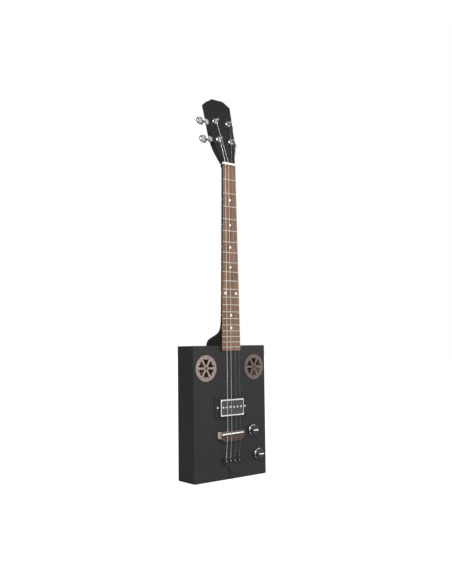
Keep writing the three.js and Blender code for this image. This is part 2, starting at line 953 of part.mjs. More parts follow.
// ---------------------------------------------------------------- pickup
{
  const zc = PICKUP_Z;
  const ringShape = roundedRect(-45, 45, zc - 23, zc + 23, 3);
  ringShape.holes.push(
    new THREE.Path(
      roundedRect(-35.2, 35.2, zc - 20, zc + 20, 2.2).getPoints(3),
    ),
  );
  for (const x of [-HEIGHT_SCREW_X, HEIGHT_SCREW_X]) {
    const h = new THREE.Path();
    h.absarc(x, zc, 1.6, 0, 2 * Math.PI);
    ringShape.holes.push(h);
  }
  add("pickup_ring", plateY(ringShape, FRONT - 2.5, FRONT, 3), BLACK_PLASTIC);

  const w = PICKUP_W / 2;
  const h = PICKUP_H / 2;
  const wall = roundedRect(-w, w, zc - h, zc + h, 2);
  wall.holes.push(
    new THREE.Path(
      roundedRect(-w + 0.9, w - 0.9, zc - h + 0.9, zc + h - 0.9, 1.2).getPoints(
        3,
      ),
    ),
  );
  const rim = roundedRect(-w, w, zc - h, zc + h, 2);
  rim.holes.push(
    new THREE.Path(
      roundedRect(-w + 3.8, w - 3.8, zc - h + 3.8, zc + h - 3.8, 4).getPoints(
        3,
      ),
    ),
  );
  add(
    "pickup_cover",
    join(
      plateY(wall, PICKUP_TOP + 1, PICKUP_TOP + 13, 3),
      plateY(rim, PICKUP_TOP, PICKUP_TOP + 1.2, 3),
    ),
    CHROME,
  );

  const poleX = Array.from({ length: 6 }, (_, i) => (i - 2.5) * POLE_SPACING);
  const bw = w - 4.1;
  const bh = h - 4.1;
  const flange = (y0, y1) =>
    plateY(roundedRect(-bw, bw, zc - bh, zc + bh, 3.7), y0, y1, 2);
  const core = plateY(
    roundedRect(-29, 29, zc - 5, zc + 5, 4.9),
    PICKUP_TOP + 1,
    PICKUP_TOP + 11,
    2,
  );
  const bores = poleX.map((x) =>
    turnedFront(
      [
        [0, 0],
        [2.65, 0],
        [2.65, 20],
        [0, 20],
      ],
      8,
      x,
      PICKUP_TOP + 14,
      zc,
    ),
  );
  add(
    "pickup_bobbin",
    cut(
      join(
        flange(PICKUP_TOP + 0.8, PICKUP_TOP + 2.6),
        core,
        flange(PICKUP_TOP + 10, PICKUP_TOP + 11.6),
      ),
      ...bores,
    ),
    BLACK_PLASTIC,
  );
  const winding = roundedRect(-30 + 0.1, 30 - 0.1, zc - 11, zc + 11, 6);
  winding.holes.push(
    new THREE.Path(roundedRect(-29.5, 29.5, zc - 5.5, zc + 5.5, 5).getPoints(2)),
  );
  add(
    "pickup_coil",
    plateY(winding, PICKUP_TOP + 2.9, PICKUP_TOP + 9.7, 3),
    COPPER,
  );
  const poles = poleX.map((x) =>
    turnedFront(
      [
        [0, 0],
        [2.3, 0],
        [2.3, 12.4],
        [1.9, 12.9],
        [0, 12.9],
      ],
      10,
      x,
      PICKUP_TOP + 12.4,
      zc,
    ),
  );
  add(
    "pickup_poles",
    join(
      box(-28.6, 28.6, PICKUP_TOP + 12, PICKUP_TOP + 13.8, zc - 3, zc + 3),
      ...poles,
    ),
    STEEL,
  );
  const base = shapeOf([
    [-33, zc - 17.6],
    [33, zc - 17.6],
    [33, zc - 5.5],
    [42.7, zc - 5.5],
    [42.7, zc + 5.5],
    [33, zc + 5.5],
    [33, zc + 17.6],
    [-33, zc + 17.6],
    [-33, zc + 5.5],
    [-42.7, zc + 5.5],
    [-42.7, zc - 5.5],
    [-33, zc - 5.5],
  ]);
  for (const x of [-HEIGHT_SCREW_X, HEIGHT_SCREW_X]) {
    const hole = new THREE.Path();
    hole.absarc(x, zc, 1.6, 0, 2 * Math.PI);
    base.holes.push(hole);
  }
  add(
    "pickup_baseplate",
    plateY(base, PICKUP_TOP + 14.1, PICKUP_TOP + 15.3, 3),
    NICKEL,
  );
  for (const [name, x] of [
    ["height_screw_bass", -HEIGHT_SCREW_X],
    ["height_screw_treble", HEIGHT_SCREW_X],
  ])
    add(
      name,
      turnedFront(
        [
          [0, 0],
          [1.2, 0],
          [1.2, 15.2],
          [2.6, 15.2],
          [2.5, 16.1],
     [0, 16.9],
        ],
        12,
        x,
        FRONT - 2.7 + 15.2,
        zc,
      ),
      NICKEL,
    );
}

// ---------------------------------------------------------------- controls
for (const [name, [x, z]] of [
  ["volume", VOLUME_AT],
  ["tone", TONE_AT],
]) {
  // Pot: a can under the soundboard and a threaded sleeve through it.
  add(
    "pot_" + name,
    turnedFront(
      [
        [0, 0],
        [8.4, 0],
        [8.4, 9.6],
        [4.55, 9.6],
        [4.55, 17.3],
        [3.25, 17.3],
        [3.25, 3],
        [0, 3],
      ],
      14,
      x,
      innerFront + 9.8,
      z,
    ),
    STEEL,
  );
  const hex = new THREE.Shape();
  for (let i = 0; i < 6; i++) {
    const a = (i * Math.PI) / 3;
    const p = [x + 6.6 * Math.cos(a), z + 6.6 * Math.sin(a)];
    if (i) hex.lineTo(...p);
    else hex.moveTo(...p);
  }
  hex.closePath();
  const eye = new THREE.Path();
  eye.absarc(x, z, 4.9, 0, 2 * Math.PI);
  hex.holes.push(eye);
  add("pot_nut_" + name, plateY(hex, FRONT - 2, FRONT, 8), NICKEL);
  add(
    "pot_shaft_" + name,
    turnedFront(
      [
        [0, 0],
        [3, 0],
        [3, 18.5],
        [0, 18.5],
      ],
      12,
      x,
      innerFront + 6.3,
      z,
    ),
    STEEL,
  );
  // Knob with a sloped skirt: hollow underneath so that it clears the nut,
  // bored for the shaft.
  add(
    "knob_" + name,
    turnedFront(
      [
        [0, 7.8],
        [3.3, 7.8],
        [3.3, 3.4],
        [8.2, 3.4],
        [8.2, 0],
        [12.6, 0],
        [KNOB_R, 0.6],
        [10.8, 3.1],
        [10.5, 7.7],
        [9.7, 8.6],
        [0, 8.6],
      ],
      22,
      x,
      FRONT - 1.2,
      z,
    ),
    BLACK_PLASTIC,
  );
}

// ---------------------------------------------------------------- output jack
{
  const plate = plateY(roundedRect(-17, 17, -17, 17, 4), 0, 1.6, 3);
  plate.rotateZ(-Math.PI / 2).translate(halfW, 0, JACK_Z);
  add(
    "jack_plate",
    cut(
      plate,
      turnedX(
        [
          [0, 0],
          [5, 0],
          [5, 8],
          [0, 8],
        ],
        16,
        halfW - 3,
        0,
        JACK_Z,
      ),
    ),
    BLACK_METAL,
  );
  // Threaded sleeve with its nut, and the socket behind it.
  add(
    "jack_socket",
    turnedX(
      [
        [0, 0],
        [9.5, 0],
        [9.5, 17],
        [4.7, 17],
        [4.7, 28.9],
        [7.4, 28.9],
        [7.4, 31],
        [4.7, 31],
        [4.7, 32],
        [BORE_R, 32],
        [BORE_R, 1.5],
        [0, 1.5],
      ],
      16,
      halfW - 27,
      0,
      JACK_Z,
    ),
    NICKEL,
  );
}

// ---------------------------------------------------------------- wiring
add(
  "pickup_lead",
  tube(
    [
      [24, -17.4, 150],
      [24, -13, 150],
      [27, -9, 146],
      [34, -7, 138],
      [46, -6.5, 126],
      [57, -7, 113],
      [62.5, -9, 105.5],
      [64, -12, 103.5],
      [64, -15.2, 103.4],
    ],
    1.3,
  ),
  WIRE,
);
add(
  "jack_lead",
  tube(
    [
      [80.5, -15.2, 48.5],
      [80.5, -12, 48.8],
      [79, -8, 51],
      [74, -4.5, 57],
      [70, -2, 65],
      [69, -0.6, 71.5],
      [71, 0, 74.6],
      [74.5, 0, 75],
      [77.2, 0, 75],
    ],
    1.3,
  ),
  WIRE,
);
add(
  "tone_capacitor",
  turnedFront(
    [
      [0, 0],
      [4.2, 0],
      [5, 0.8],
      [5, 2.2],
      [4.2, 3],
      [0, 3],
    ],
    10,
    76,
    -12.2,
    56,
  ),
  CERAMIC,
);

// ---------------------------------------------------------------- tuners
const headstock = new THREE.Group();
headstock.applyMatrix4(headFrame);
guitar.add(headstock);

// Order of the strings from the thickest: low bass post, high bass post, high
// treble post, low treble post.
const POSTS = [
  [-POST_LOW[0], POST_LOW[1]],
  [-POST_HIGH[0], POST_HIGH[1]],
  [POST_HIGH[0], POST_HIGH[1]],
  [POST_LOW[0], POST_LOW[1]],
];
const GEAR_H = WORM_H; // gear's mid-plane lies on the worm's axis
POSTS.forEach(([px, pv], i) => {
  const side = Math.sign(px);
  const n = i + 1;
  add(
    "tuner_bushing_" + n,
    turnedZ(
      [
        [3.2, -9],
        [4.7, -9],
        [4.7, 0.15],
        [7, 0.15],
        [6.6, 1.5],
        [4.4, 2.1],
        [3.2, 2.1],
        [3.2, -9],
      ],
      14,
      px,
      pv,
      0,
    ),
    CHROME,
    headstock,
  );

  // Baseplate screwed to the back, with two ears that carry the worm's shaft.
  const back = -HEAD_T - 0.2;
  const t = 1.3;
  const wormV = pv + WORM_OFFSET;
  const ear = (x0, x1) =>
    box(x0, x1, wormV - 3.6, wormV + 3.6, WORM_H - 3.6, back - 0.5);
  const plate = plateZ(
    roundedRect(px - 8.6, px + 8.6, pv - 11, pv + 19, 2.5),
    back - t,
    back,
    2,
  );
  const postHole = turnedZ(
    [
      [0, 0],
      [3.3, 0],
      [3.3, 6],
      [0, 6],
    ],
    12,
    px,
    pv,
    back - 4,
  );
  const shaftHole = turnedX(
    [
      [0, 0],
      [1.85, 0],
      [1.85, 30],
      [0, 30],
    ],
    8,
    px - 15,
    wormV,
    WORM_H,
  );
  add(
    "tuner_plate_" + n,
    cut(
      join(plate, ear(px - 8.6, px - 6.8), ear(px + 6.8, px + 8.6)),
      postHole,
      shaftHole,
    ),
    CHROME,
    headstock,
  );

  // Post with its gear wheel and the waist that holds the windings.
  const post = turnedZ(
    [
      [0, GEAR_H - 2],
      [POST_R, GEAR_H - 2],
      [POST_R, 2.3],
      [2.3, 2.9],
      [2.3, 8.2],
      [POST_R, 9.6],
      [POST_R, 11.4],
      [2.5, 11.9],
      [0, 11.9],
    ],
    12,
    px,
    pv,
    0,
  );
  const wheel = [];
  for (let k = 0; k < GEAR_TEETH; k++) {
    const step = (2 * Math.PI) / GEAR_TEETH;
    // a gap faces the worm at rest
    const a = Math.PI / 2 + (k + 0.5) * step;
    for (const [r, da] of [
      [5.5, -0.36],
      [6.6, -0.2],
      [6.6, 0.2],
      [5.5, 0.36],
    ])
      wheel.push([
        px + r * Math.cos(a + da * step),
        pv + r * Math.sin(a + da * step),
      ]);
  }
  add(
    "tuner_post_" + n,
    join(post, plateZ(shapeOf(wheel), GEAR_H - 1.8, GEAR_H + 1.6)),
    CHROME,
    headstock,
  );

  // Worm on its shaft, with the button at the outer end.
  const reach = side * 54.6 - px; // from the post's axis to the button's tip
  const length = Math.abs(reach);
  const shaft = turned(
    [
      [0, -10.4],
      [1.55, -10.4],
      [1.55, -6.4],
      [1.95, -6.4],
      [1.95, 6.4],
      [1.55, 6.4],
      [1.55, length - 22.6],
      [2.9, length - 22],
      [2.9, length - 20],
      [2.2, length - 18.6],
      [2.2, length - 12],
      [0, length - 12],
    ],
    10,
  )
    .rotateZ((-side * Math.PI) / 2)
    .translate(px, wormV, WORM_H);
  // Kidney-shaped button: a rounded slab, wider across than it is long.
  const L = 17.6;
  const outline = [
    [0.16, 2.6],
    [0.3, 6],
    [1.6, 8.6],
    [4.2, 9.7],
    [7.6, 9.5],
    [11.2, 8.9],
    [14.4, 7.4],
    [16.6, 4.6],
    [L, 1.4],
    [L, -1.4],
    [16.6, -4.6],
    [14.4, -7.4],
    [11.2, -8.9],
    [7.6, -9.5],
    [4.2, -9.7],
    [1.6, -8.6],
    [0.3, -6],
    [0.16, -2.6],
  ];
  const slab = (grow, h0, h1) =>
    plateZ(
      shapeOf(
        outline.map(([u, v]) => [
          L / 2 + (u - L / 2) * grow,
          v * grow,
        ]),
      ),
      h0,
      h1,
    );
  const button = join(
    slab(1, -2.1, 2.1),
    slab(0.84, -3.4, 3.4),
  );
  button.applyMatrix4(
    new THREE.Matrix4().makeBasis(
      new THREE.Vector3(side, 0, 0),
      new THREE.Vector3(0, side, 0),
      new THREE.Vector3(0, 0, 1),
    ),
  );
  button.translate(px + side * (length - L), wormV, WORM_H);
  add("tuner_button_" + n, join(shaft, button), CHROME, headstock);
});

// ---------------------------------------------------------------- strings
// Each string is whole: from its ball end at the tailpiece, over the saddle
// and the nut, to its turns round the post.
POSTS.forEach(([px, pv], i) => {
  const r = STRING_R[i];
  const side = Math.sign(px);
  const points = [];
  const tailX = STRING_TAIL_X[i];
  points.push([tailX, STRING_TAIL_Y, TAIL_TOP_Z - 4.2]);
  points.push([tailX, STRING_TAIL_Y, TAIL_TOP_Z + 1]);
  points.push([STRING_SADDLE_X[i], STRING_SADDLE_Y, SADDLE_MID_Z]);
  points.push([STRING_NUT_X[i], STRING_NUT_Y, NUT_Z + 1]);
  points.push([STRING_NUT_X[i], STRING_NUT_Y + 0.1, HEAD_Z - 0.6]);
  // windings in the headstock's frame, from the side nearest the middle
  const turnR = 2.3 + r + 0.3;
  const turns = 2;
  const per = 10;
  const pitch = Math.max(2 * r + 0.25, 0.9);
  const top = 6.6;
  // tangent point of a straight line from the nut to the winding circle
  const inv = headFrame.clone().invert();
  const from = new THREE.Vector3(
    STRING_NUT_X[i],
    STRING_NUT_Y + 0.1,
    HEAD_Z - 0.6,
  ).applyMatrix4(inv);
  const dx = px - from.x;
  const dv = pv - from.y;
  const d = Math.hypot(dx, dv);
  const towards = Math.atan2(dv, dx);
  const spread = Math.acos(turnR / d);
  const start = towards + Math.PI - -side * spread;
  for (let k = 0; k <= turns * per; k++) {
    const a = start - (-side * (2 * Math.PI * k)) / per;
    points.push(
      headPoint(
        px + turnR * Math.cos(a),
        pv + turnR * Math.sin(a),
        top - (pitch * k) / per,
      ),
    );
  }
  const ball = turnedX(
    [
      [0, -1.6],
      [1.5, -1.6],
      [1.9, -1.2],
      [1.9, 1.2],
      [1.5, 1.6],
      [0, 1.6],
    ],
    8,
    tailX,
    STRING_TAIL_Y,
    TAIL_TOP_Z - 5,
  );
  add(
    "string_" + (i + 1),
    join(tube(points, r), ball),
    i < 2 ? BRONZE : STEEL,
  );
});

export default guitar;
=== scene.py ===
"""The cigar box guitar's looks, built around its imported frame. Shapes are worked out in millimetres, X to the treble side, Y to the back, Z up."""

import json
import math

import bmesh
import bpy
from mathutils import Matrix, Vector

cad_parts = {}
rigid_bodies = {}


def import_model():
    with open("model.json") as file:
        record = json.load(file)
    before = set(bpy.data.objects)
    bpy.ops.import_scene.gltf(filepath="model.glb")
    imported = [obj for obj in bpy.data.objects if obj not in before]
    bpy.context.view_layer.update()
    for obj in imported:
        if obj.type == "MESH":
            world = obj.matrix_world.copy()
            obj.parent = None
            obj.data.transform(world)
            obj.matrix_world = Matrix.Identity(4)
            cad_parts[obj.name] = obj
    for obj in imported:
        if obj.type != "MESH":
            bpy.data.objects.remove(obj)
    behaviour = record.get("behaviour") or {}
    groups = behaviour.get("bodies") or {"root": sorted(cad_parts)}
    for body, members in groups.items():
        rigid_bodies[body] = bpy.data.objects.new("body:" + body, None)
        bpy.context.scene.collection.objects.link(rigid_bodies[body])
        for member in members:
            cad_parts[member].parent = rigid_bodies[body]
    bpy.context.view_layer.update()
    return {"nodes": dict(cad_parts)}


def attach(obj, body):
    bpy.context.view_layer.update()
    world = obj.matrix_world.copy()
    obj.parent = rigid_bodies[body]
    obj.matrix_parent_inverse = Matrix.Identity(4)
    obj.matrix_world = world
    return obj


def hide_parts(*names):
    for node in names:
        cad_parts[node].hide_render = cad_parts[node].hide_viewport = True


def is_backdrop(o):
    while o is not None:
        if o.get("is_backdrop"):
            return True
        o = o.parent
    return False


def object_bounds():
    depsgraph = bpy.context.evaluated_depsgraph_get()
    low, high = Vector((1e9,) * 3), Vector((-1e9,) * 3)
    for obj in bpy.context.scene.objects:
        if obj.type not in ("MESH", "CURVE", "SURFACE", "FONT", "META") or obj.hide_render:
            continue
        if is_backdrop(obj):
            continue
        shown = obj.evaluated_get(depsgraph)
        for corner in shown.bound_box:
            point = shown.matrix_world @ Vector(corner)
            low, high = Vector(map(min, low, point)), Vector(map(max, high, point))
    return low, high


for left in list(bpy.data.objects):
    bpy.data.objects.remove(left, do_unlink=True)

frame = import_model()
NODES = frame["nodes"]

MM = 0.001
PI = math.pi
TAU = 2 * math.pi

# ------------------------------------------------------------------ sizes
HALF_W, FRONT, BACK, BODY_H = 104.5, -29.0, 29.0, 297.5
SIDE_T, FACE_T = 6.0, 3.5
BOARD_TOP, BOARD_END_Z, NUT_Z = -34.0, 286.0, 712.0
SADDLE_Z, SCALE = 102.0, 610.0
HEAD_Y, HEAD_Z, HEAD_T, TILT = -33.0, 717.0, 17.5, math.radians(14)
WORM_H, WORM_OFFSET = -23.6, 9.2
POSTS = [(-18.5, 57.0), (-19.2, 104.0), (19.2, 104.0), (18.5, 57.0)]
STRING_R = [0.6, 0.47, 0.34, 0.24]
STRING_TAIL_X = [-18.5, -6.4, 6.0, 19.1]
STRING_SADDLE_X = [-18.8, -7.0, 6.8, 19.4]
STRING_NUT_X = [-13.8, -4.3, 5.7, 14.9]
TAIL_Y, TAIL_TOP_Z = -34.2, 46.0
PICKUP_Z, PICKUP_TOP = 159.5, -35.0
KNOBS = {"volume": (65.0, 103.0), "tone": (81.0, 47.5)}
JACK_Z = 75.0


def board_half(z):
    return (36.8 + (53.6 - 36.8) * (NUT_Z - z) / (NUT_Z - BOARD_END_Z)) / 2


def fret_z(n):
    return SADDLE_Z + SCALE * 2 ** (-n / 12)


def head(x, v, h):
    """A point of the headstock: x across, v up its face, h out of its face."""
    return (
        x,
        HEAD_Y + v * math.sin(TILT) - h * math.cos(TILT),
        HEAD_Z + v * math.cos(TILT) + h * math.sin(TILT),
    )


# ------------------------------------------------------------------ materials
def node(tree, kind, sockets=None, **props):
    made = tree.nodes.new("ShaderNode" + kind)
    for key, value in props.items():
        setattr(made, key, value)
    for key, value in (sockets or {}).items():
        if isinstance(value, bpy.types.NodeSocket):
            tree.links.new(value, made.inputs[key])
        else:
            made.inputs[key].default_value = value
    return made


class Paint:
    """A Principled material with short names for the nodes it is made from."""

    def __init__(self, name, **values):
        self.mat = bpy.data.materials.new(name)
        self.mat.use_nodes = True
        self.tree = self.mat.node_tree
        self.tree.nodes.clear()
        out = self.tree.nodes.new("ShaderNodeOutputMaterial")
        self.bsdf = self.tree.nodes.new("ShaderNodeBsdfPrincipled")
        self.tree.links.new(self.bsdf.outputs[0], out.inputs[0])
        coords = self.tree.nodes.new("ShaderNodeTexCoord")
        self.where = coords.outputs["Object"]
        self.xyz = node(self.tree, "SeparateXYZ", {0: self.where}).outputs
        for key, value in values.items():
            self.set(key.replace("_", " "), value)

    def set(self, key, value):
        socket = self.bsdf.inputs[key]
        if isinstance(value, bpy.types.NodeSocket):
            self.tree.links.new(value, socket)
        else:
            socket.default_value = value
        return self

    def scaled(self, x, y, z, turn=(0, 0, 0)):
        return node(
            self.tree,
            "Mapping",
            {"Vector": self.where, "Scale": (x, y, z), "Rotation": turn},
        ).outputs[0]

    def noise(self, scale, detail=3.0, rough=0.5, vector=None, distort=0.0):
        return node(
            self.tree,
            "TexNoise",
            {
                "Vector": vector or self.where,
                "Scale": scale,
                "Detail": detail,
                "Roughness": rough,
                "Distortion": distort,
            },
        ).outputs[0]

    def spots(self, scale, vector=None):
        return node(
            self.tree,
            "TexVoronoi",
            {"Vector": vector or self.where, "Scale": scale},
        ).outputs["Distance"]

    def remap(self, value, a, b, c=0.0, d=1.0):
        return node(
            self.tree,
            "MapRange",
            {
                "Value": value,
                "From Min": a,
                "From Max": b,
                "To Min": c,
                "To Max": d,
            },
            clamp=True,
        ).outputs[0]

    def math(self, kind, a, b=0.0):
        return node(self.tree, "Math", {0: a, 1: b}, operation=kind).outputs[0]

    def mix(self, share, a, b):
        made = self.tree.nodes.new("ShaderNodeMix")
        made.data_type = "RGBA"
        for index, value in ((0, share), (6, a), (7, b)):
            if isinstance(value, bpy.types.NodeSocket):
                self.tree.links.new(value, made.inputs[index])
            elif index and len(value) == 3:
                made.inputs[index].default_value = (*value, 1)
            else:
                made.inputs[index].default_value = value
        return made.outputs[2]

    def bump(self, *layers):
        """Layers of (height, strength, depth in mm), each on top of the last."""
        normal = None
        for height, strength, depth in layers:
            sockets = {"Height": height, "Strength": strength, "Distance": depth * MM}
            if normal is not None:
                sockets["Normal"] = normal
            normal = node(self.tree, "Bump", sockets).outputs[0]
        self.set("Normal", normal)
        return self


MATERIALS = {}


def keep(slot, paint):
    MATERIALS[slot] = paint.mat


# Satin black paint outside; the box's inner faces and cut edges are bare wood.
p = Paint("satin_black_paint", Specular_IOR_Level=0.5)
inside = p.math(
    "MAXIMUM",
    p.math("SUBTRACT", p.math("ABSOLUTE", p.xyz[0]), 0.0989),
    p.math(
        "MAXIMUM",
        p.math("SUBTRACT", p.math("ABSOLUTE", p.xyz[1]), 0.0259),
        p.math(
            "SUBTRACT",
            p.math("ABSOLUTE", p.math("SUBTRACT", p.xyz[2], 0.14875)),
            0.1433,
        ),
    ),
)
painted = p.remap(inside, 0.0, 0.0003)
grain = p.noise(1.0, 4, 0.6, p.scaled(260, 260, 14))
wood = p.mix(grain, (0.42, 0.28, 0.2), (0.62, 0.46, 0.35))
cloud = p.noise(24, 3)
edge = p.remap(
    p.math(
        "MAXIMUM",
        p.math(
            "ADD",
            p.math("ABSOLUTE", p.xyz[0]),
            p.math("MULTIPLY", p.math("ABSOLUTE", p.xyz[1]), 1.0),
        ),
        p.math(
            "ADD",
            p.math("ABSOLUTE", p.math("SUBTRACT", p.xyz[2], 0.14875)),
            p.math("SUBTRACT", p.math("ABSOLUTE", p.xyz[1]), 0.01525),
        ),
    ),
    0.1325,
    0.1336,
)
worn = p.math("MULTIPLY", edge, p.remap(p.noise(210, 5, 0.65), 0.5, 0.72))
black = p.mix(cloud, (0.0115, 0.0118, 0.0124), (0.0155, 0.0158, 0.0166))
black = p.mix(worn, black, (0.034, 0.033, 0.032))
p.set("Base Color", p.mix(painted, wood, black))
p.set(
    "Roughness",
    p.remap(p.math("ADD", p.noise(130, 4), p.math("SUBTRACT", 1.6, painted)), 1.0, 2.3, 0.42, 0.8),
)
p.bump(
    (p.noise(1.0, 3, 0.5, p.scaled(420, 420, 30)), 0.1, 0.05),
    (p.noise(1500, 2, 0.5), 0.16, 0.03),
)
keep("body_black", p)

p = Paint("raw_wood", Roughness=0.72)
grain = p.noise(1.0, 5, 0.62, p.scaled(24, 330, 330))
p.set("Base Color", p.mix(grain, (0.33, 0.2, 0.105), (0.52, 0.36, 0.2)))
p.bump((grain, 0.3, 0.15))
keep("raw_wood", p)

# Gloss black lacquer of the neck and headstock.
p = Paint(
    "gloss_black_lacquer",
    Specular_IOR_Level=0.5,
    Coat_Weight=0.35,
    Coat_IOR=1.6,
    Coat_Roughness=0.06,
)
p.set(
    "Base Color",
    p.mix(p.noise(40, 3), (0.005, 0.005, 0.0054), (0.008, 0.0078, 0.008)),
)
p.set("Roughness", p.remap(p.noise(90, 4, 0.6), 0.3, 0.75, 0.12, 0.22))
p.bump(
    (p.noise(1.0, 3, 0.5, p.scaled(330, 330, 26)), 0.1, 0.06),
    (p.noise(60, 2, 0.5), 0.12, 0.1),
)
keep("neck_black", p)

# Open-grained fretboard: streaks and short pores that run along the board.
# Tuned to one photograph: the board's sides are nearly black.
p = Paint("fretboard_wood", Specular_IOR_Level=0.4)
wander = p.noise(1.0, 2, 0.5, p.scaled(30, 30, 5))
streak = p.noise(1.0, 5, 0.62, p.scaled(230, 230, 9), 0.6)
fine = p.noise(1.0, 3, 0.6, p.scaled(900, 900, 34))
pores = p.remap(p.noise(1.0, 2, 0.5, p.scaled(1500, 1500, 95)), 0.62, 0.7)
tone = p.mix(p.remap(streak, 0.34, 0.66), (0.106, 0.053, 0.031), (0.35, 0.2, 0.116))
tone = p.mix(p.remap(wander, 0.35, 0.7, 0.0, 0.4), tone, (0.184, 0.092, 0.051))
tone = p.mix(p.remap(fine, 0.42, 0.66, 0.0, 0.4), tone, (0.11, 0.052, 0.032))
tone = p.mix(p.math("MULTIPLY", pores, 0.75), tone, (0.05, 0.024, 0.016))
side = p.remap(p.math("ADD", p.xyz[1], 0.0), -0.03385, -0.0333)
tone = p.mix(side, tone, (0.018, 0.013, 0.012))
p.set("Base Color", tone)
p.set("Roughness", p.remap(fine, 0.3, 0.75, 0.42, 0.62))
p.bump((pores, 0.35, -0.15), (fine, 0.18, 0.06))
keep("fretboard_wood", p)

# Pinkish brown bridge wood: grain runs along the bridge.
# Tuned to one photograph: the bass end is painted much paler as painted light, the strip under the saddle darker as a
# painted shadow, and bands low down and along the top lighter as painted light.
p = Paint("bridge_wood", Specular_IOR_Level=0.45)
streak = p.noise(1.0, 5, 0.62, p.scaled(13, 260, 300), 0.8)
pores = p.remap(p.noise(1.0, 2, 0.5, p.scaled(90, 1300, 1500)), 0.6, 0.7)
tone = p.mix(p.remap(streak, 0.3, 0.7), (0.05, 0.0332, 0.0294), (0.118, 0.0815, 0.0715))
tone = p.mix(p.math("MULTIPLY", pores, 0.7), tone, (0.022, 0.012, 0.01))
under = p.math("SUBTRACT", p.xyz[2], p.math("MULTIPLY", p.xyz[0], 0.022))
# Painted shadow: the strip just under the saddle is darker, where the saddle's shadow falls.
corner = p.math(
    "MULTIPLY", p.remap(under, 0.0962, 0.0982), p.remap(under, 0.1, 0.1004, 1.0, 0.0)
)
tone = p.mix(p.math("MULTIPLY", corner, 0.85), tone, (0.024, 0.014, 0.012))
# Painted light: lighter bands along the bridge's lower part and along its top.
tone = p.mix(p.remap(under, 0.093, 0.0972, 0.09, 0.0), tone, (0.3, 0.22, 0.2))
tone = p.mix(p.remap(under, 0.1035, 0.1045, 0.0, 0.12), tone, (0.3, 0.22, 0.2))
# Painted light: the bass end face is much paler, where light from the left falls on it.
painted_light_end = p.remap(p.math("MULTIPLY", p.xyz[0], -1.0), 0.0328, 0.0376)
tone = p.mix(p.math("MULTIPLY", painted_light_end, 0.76), tone, (0.56, 0.48, 0.45))
p.set("Base Color", tone)
p.set("Roughness", p.remap(streak, 0.3, 0.75, 0.36, 0.55))
p.bump((pores, 0.3, -0.12), (streak, 0.15, 0.08))
keep("bridge_wood", p)

p = Paint("fret_nickel", Metallic=0.75, Specular_IOR_Level=0.8)
p.set("Base Color", p.mix(p.noise(900, 3), (0.74, 0.69, 0.62), (0.9, 0.86, 0.8)))
p.set("Roughness", p.remap(p.noise(1.0, 4, 0.6, p.scaled(120, 900, 900)), 0.3, 0.7, 0.2, 0.36))
p.bump((p.noise(1.0, 3, 0.6, p.scaled(90, 2500, 2500)), 0.08, 0.02))
keep("fret_metal", p)

p = Paint("bone", Specular_IOR_Level=0.5, Subsurface_Weight=0.12, Subsurface_Scale=0.0012)
p.set("Base Color", p.mix(p.noise(1.0, 4, 0.6, p.scaled(40, 600, 260)), (0.8, 0.765, 0.68), (0.91, 0.89, 0.83)))
p.set("Roughness", p.remap(p.noise(500, 3), 0.3, 0.7, 0.26, 0.42))
p.bump((p.noise(1400, 3), 0.08, 0.03))
keep("bone", p)

# Aged copper-grey grilles, brushed, with painted light and shade: paler spokes, darker hubs, rims and recessed faces.
# Tuned to one photograph: painted shade makes the treble grille darker than the bass one, 0 for 0.56 makes them alike.
p = Paint("antique_copper", Metallic=0.75, Specular_IOR_Level=0.4)
age = p.noise(190, 5, 0.65)
tone = p.mix(p.remap(age, 0.32, 0.68), (0.325, 0.243, 0.228), (0.55, 0.45, 0.425))
tone = p.mix(p.remap(p.noise(700, 3), 0.55, 0.75, 0.0, 0.5), tone, (0.13, 0.085, 0.075))
off_x = p.math("SUBTRACT", p.math("ABSOLUTE", p.xyz[0]), 0.07)
off_z = p.math("SUBTRACT", p.xyz[2], 0.248)
out = p.math(
    "SQRT", p.math("ADD", p.math("MULTIPLY", off_x, off_x), p.math("MULTIPLY", off_z, off_z))
)
# Painted light: paler inside the rim, over the spokes.
tone = p.mix(p.remap(out, 0.0205, 0.0225, 0.6, 0.0), tone, (0.45, 0.4, 0.33))
# Painted shade: the hub is darker.
tone = p.mix(p.remap(out, 0.0034, 0.0052, 0.75, 0.0), tone, (0.13, 0.09, 0.08))
# Painted shade: the outer rim is darker.
tone = p.mix(p.remap(out, 0.0283, 0.0291, 0.0, 0.6), tone, (0.12, 0.075, 0.07))
# Painted shade: the recessed faces behind the front are darker.
low = p.remap(p.math("MULTIPLY", p.xyz[1], -1.0), 0.0291, 0.0303)
tone = p.mix(low, (0.06, 0.038, 0.033), tone)
# Painted shade: darker towards the treble side, so the treble grille is darker.
painted_treble_shade = p.remap(p.xyz[0], -0.03, 0.03, 0.0, 0.56)
tone = p.mix(painted_treble_shade, tone, (0.07, 0.047, 0.043))
p.set("Base Color", tone)
p.set("Roughness", p.remap(age, 0.3, 0.7, 0.56, 0.4))
p.bump((p.noise(900, 4, 0.6), 0.22, 0.06), (age, 0.12, 0.1))
keep("grille_metal", p)

p = Paint("chrome", Metallic=1.0)
p.set("Base Color", p.mix(p.noise(70, 3), (0.93, 0.93, 0.94), (0.97, 0.97, 0.97)))
p.set("Roughness", p.remap(p.noise(260, 4, 0.6), 0.35, 0.75, 0.1, 0.2))
p.bump((p.noise(240, 2), 0.05, 0.05))
keep("chrome", p)


p = Paint("machine_chrome", Metallic=1.0)
p.set("Base Color", p.mix(p.noise(70, 3), (0.66, 0.66, 0.67), (0.76, 0.76, 0.76)))
p.set("Roughness", p.remap(p.noise(260, 4, 0.6), 0.35, 0.75, 0.08, 0.18))
p.bump((p.noise(240, 2), 0.05, 0.05))
keep("dark_chrome", p)


def wound(name, dark, light, per_mm):
    p = Paint(name, Metallic=0.85)
    turn = p.math("SINE", p.math("MULTIPLY", p.xyz[2], per_mm * 1000 * TAU), 0.0)
    p.set("Base Color", p.mix(p.noise(1500, 3), dark, light))
    p.set("Roughness", p.remap(p.noise(2000, 2), 0.3, 0.7, 0.32, 0.46))
    p.bump((turn, 0.2, 0.03))
    return p


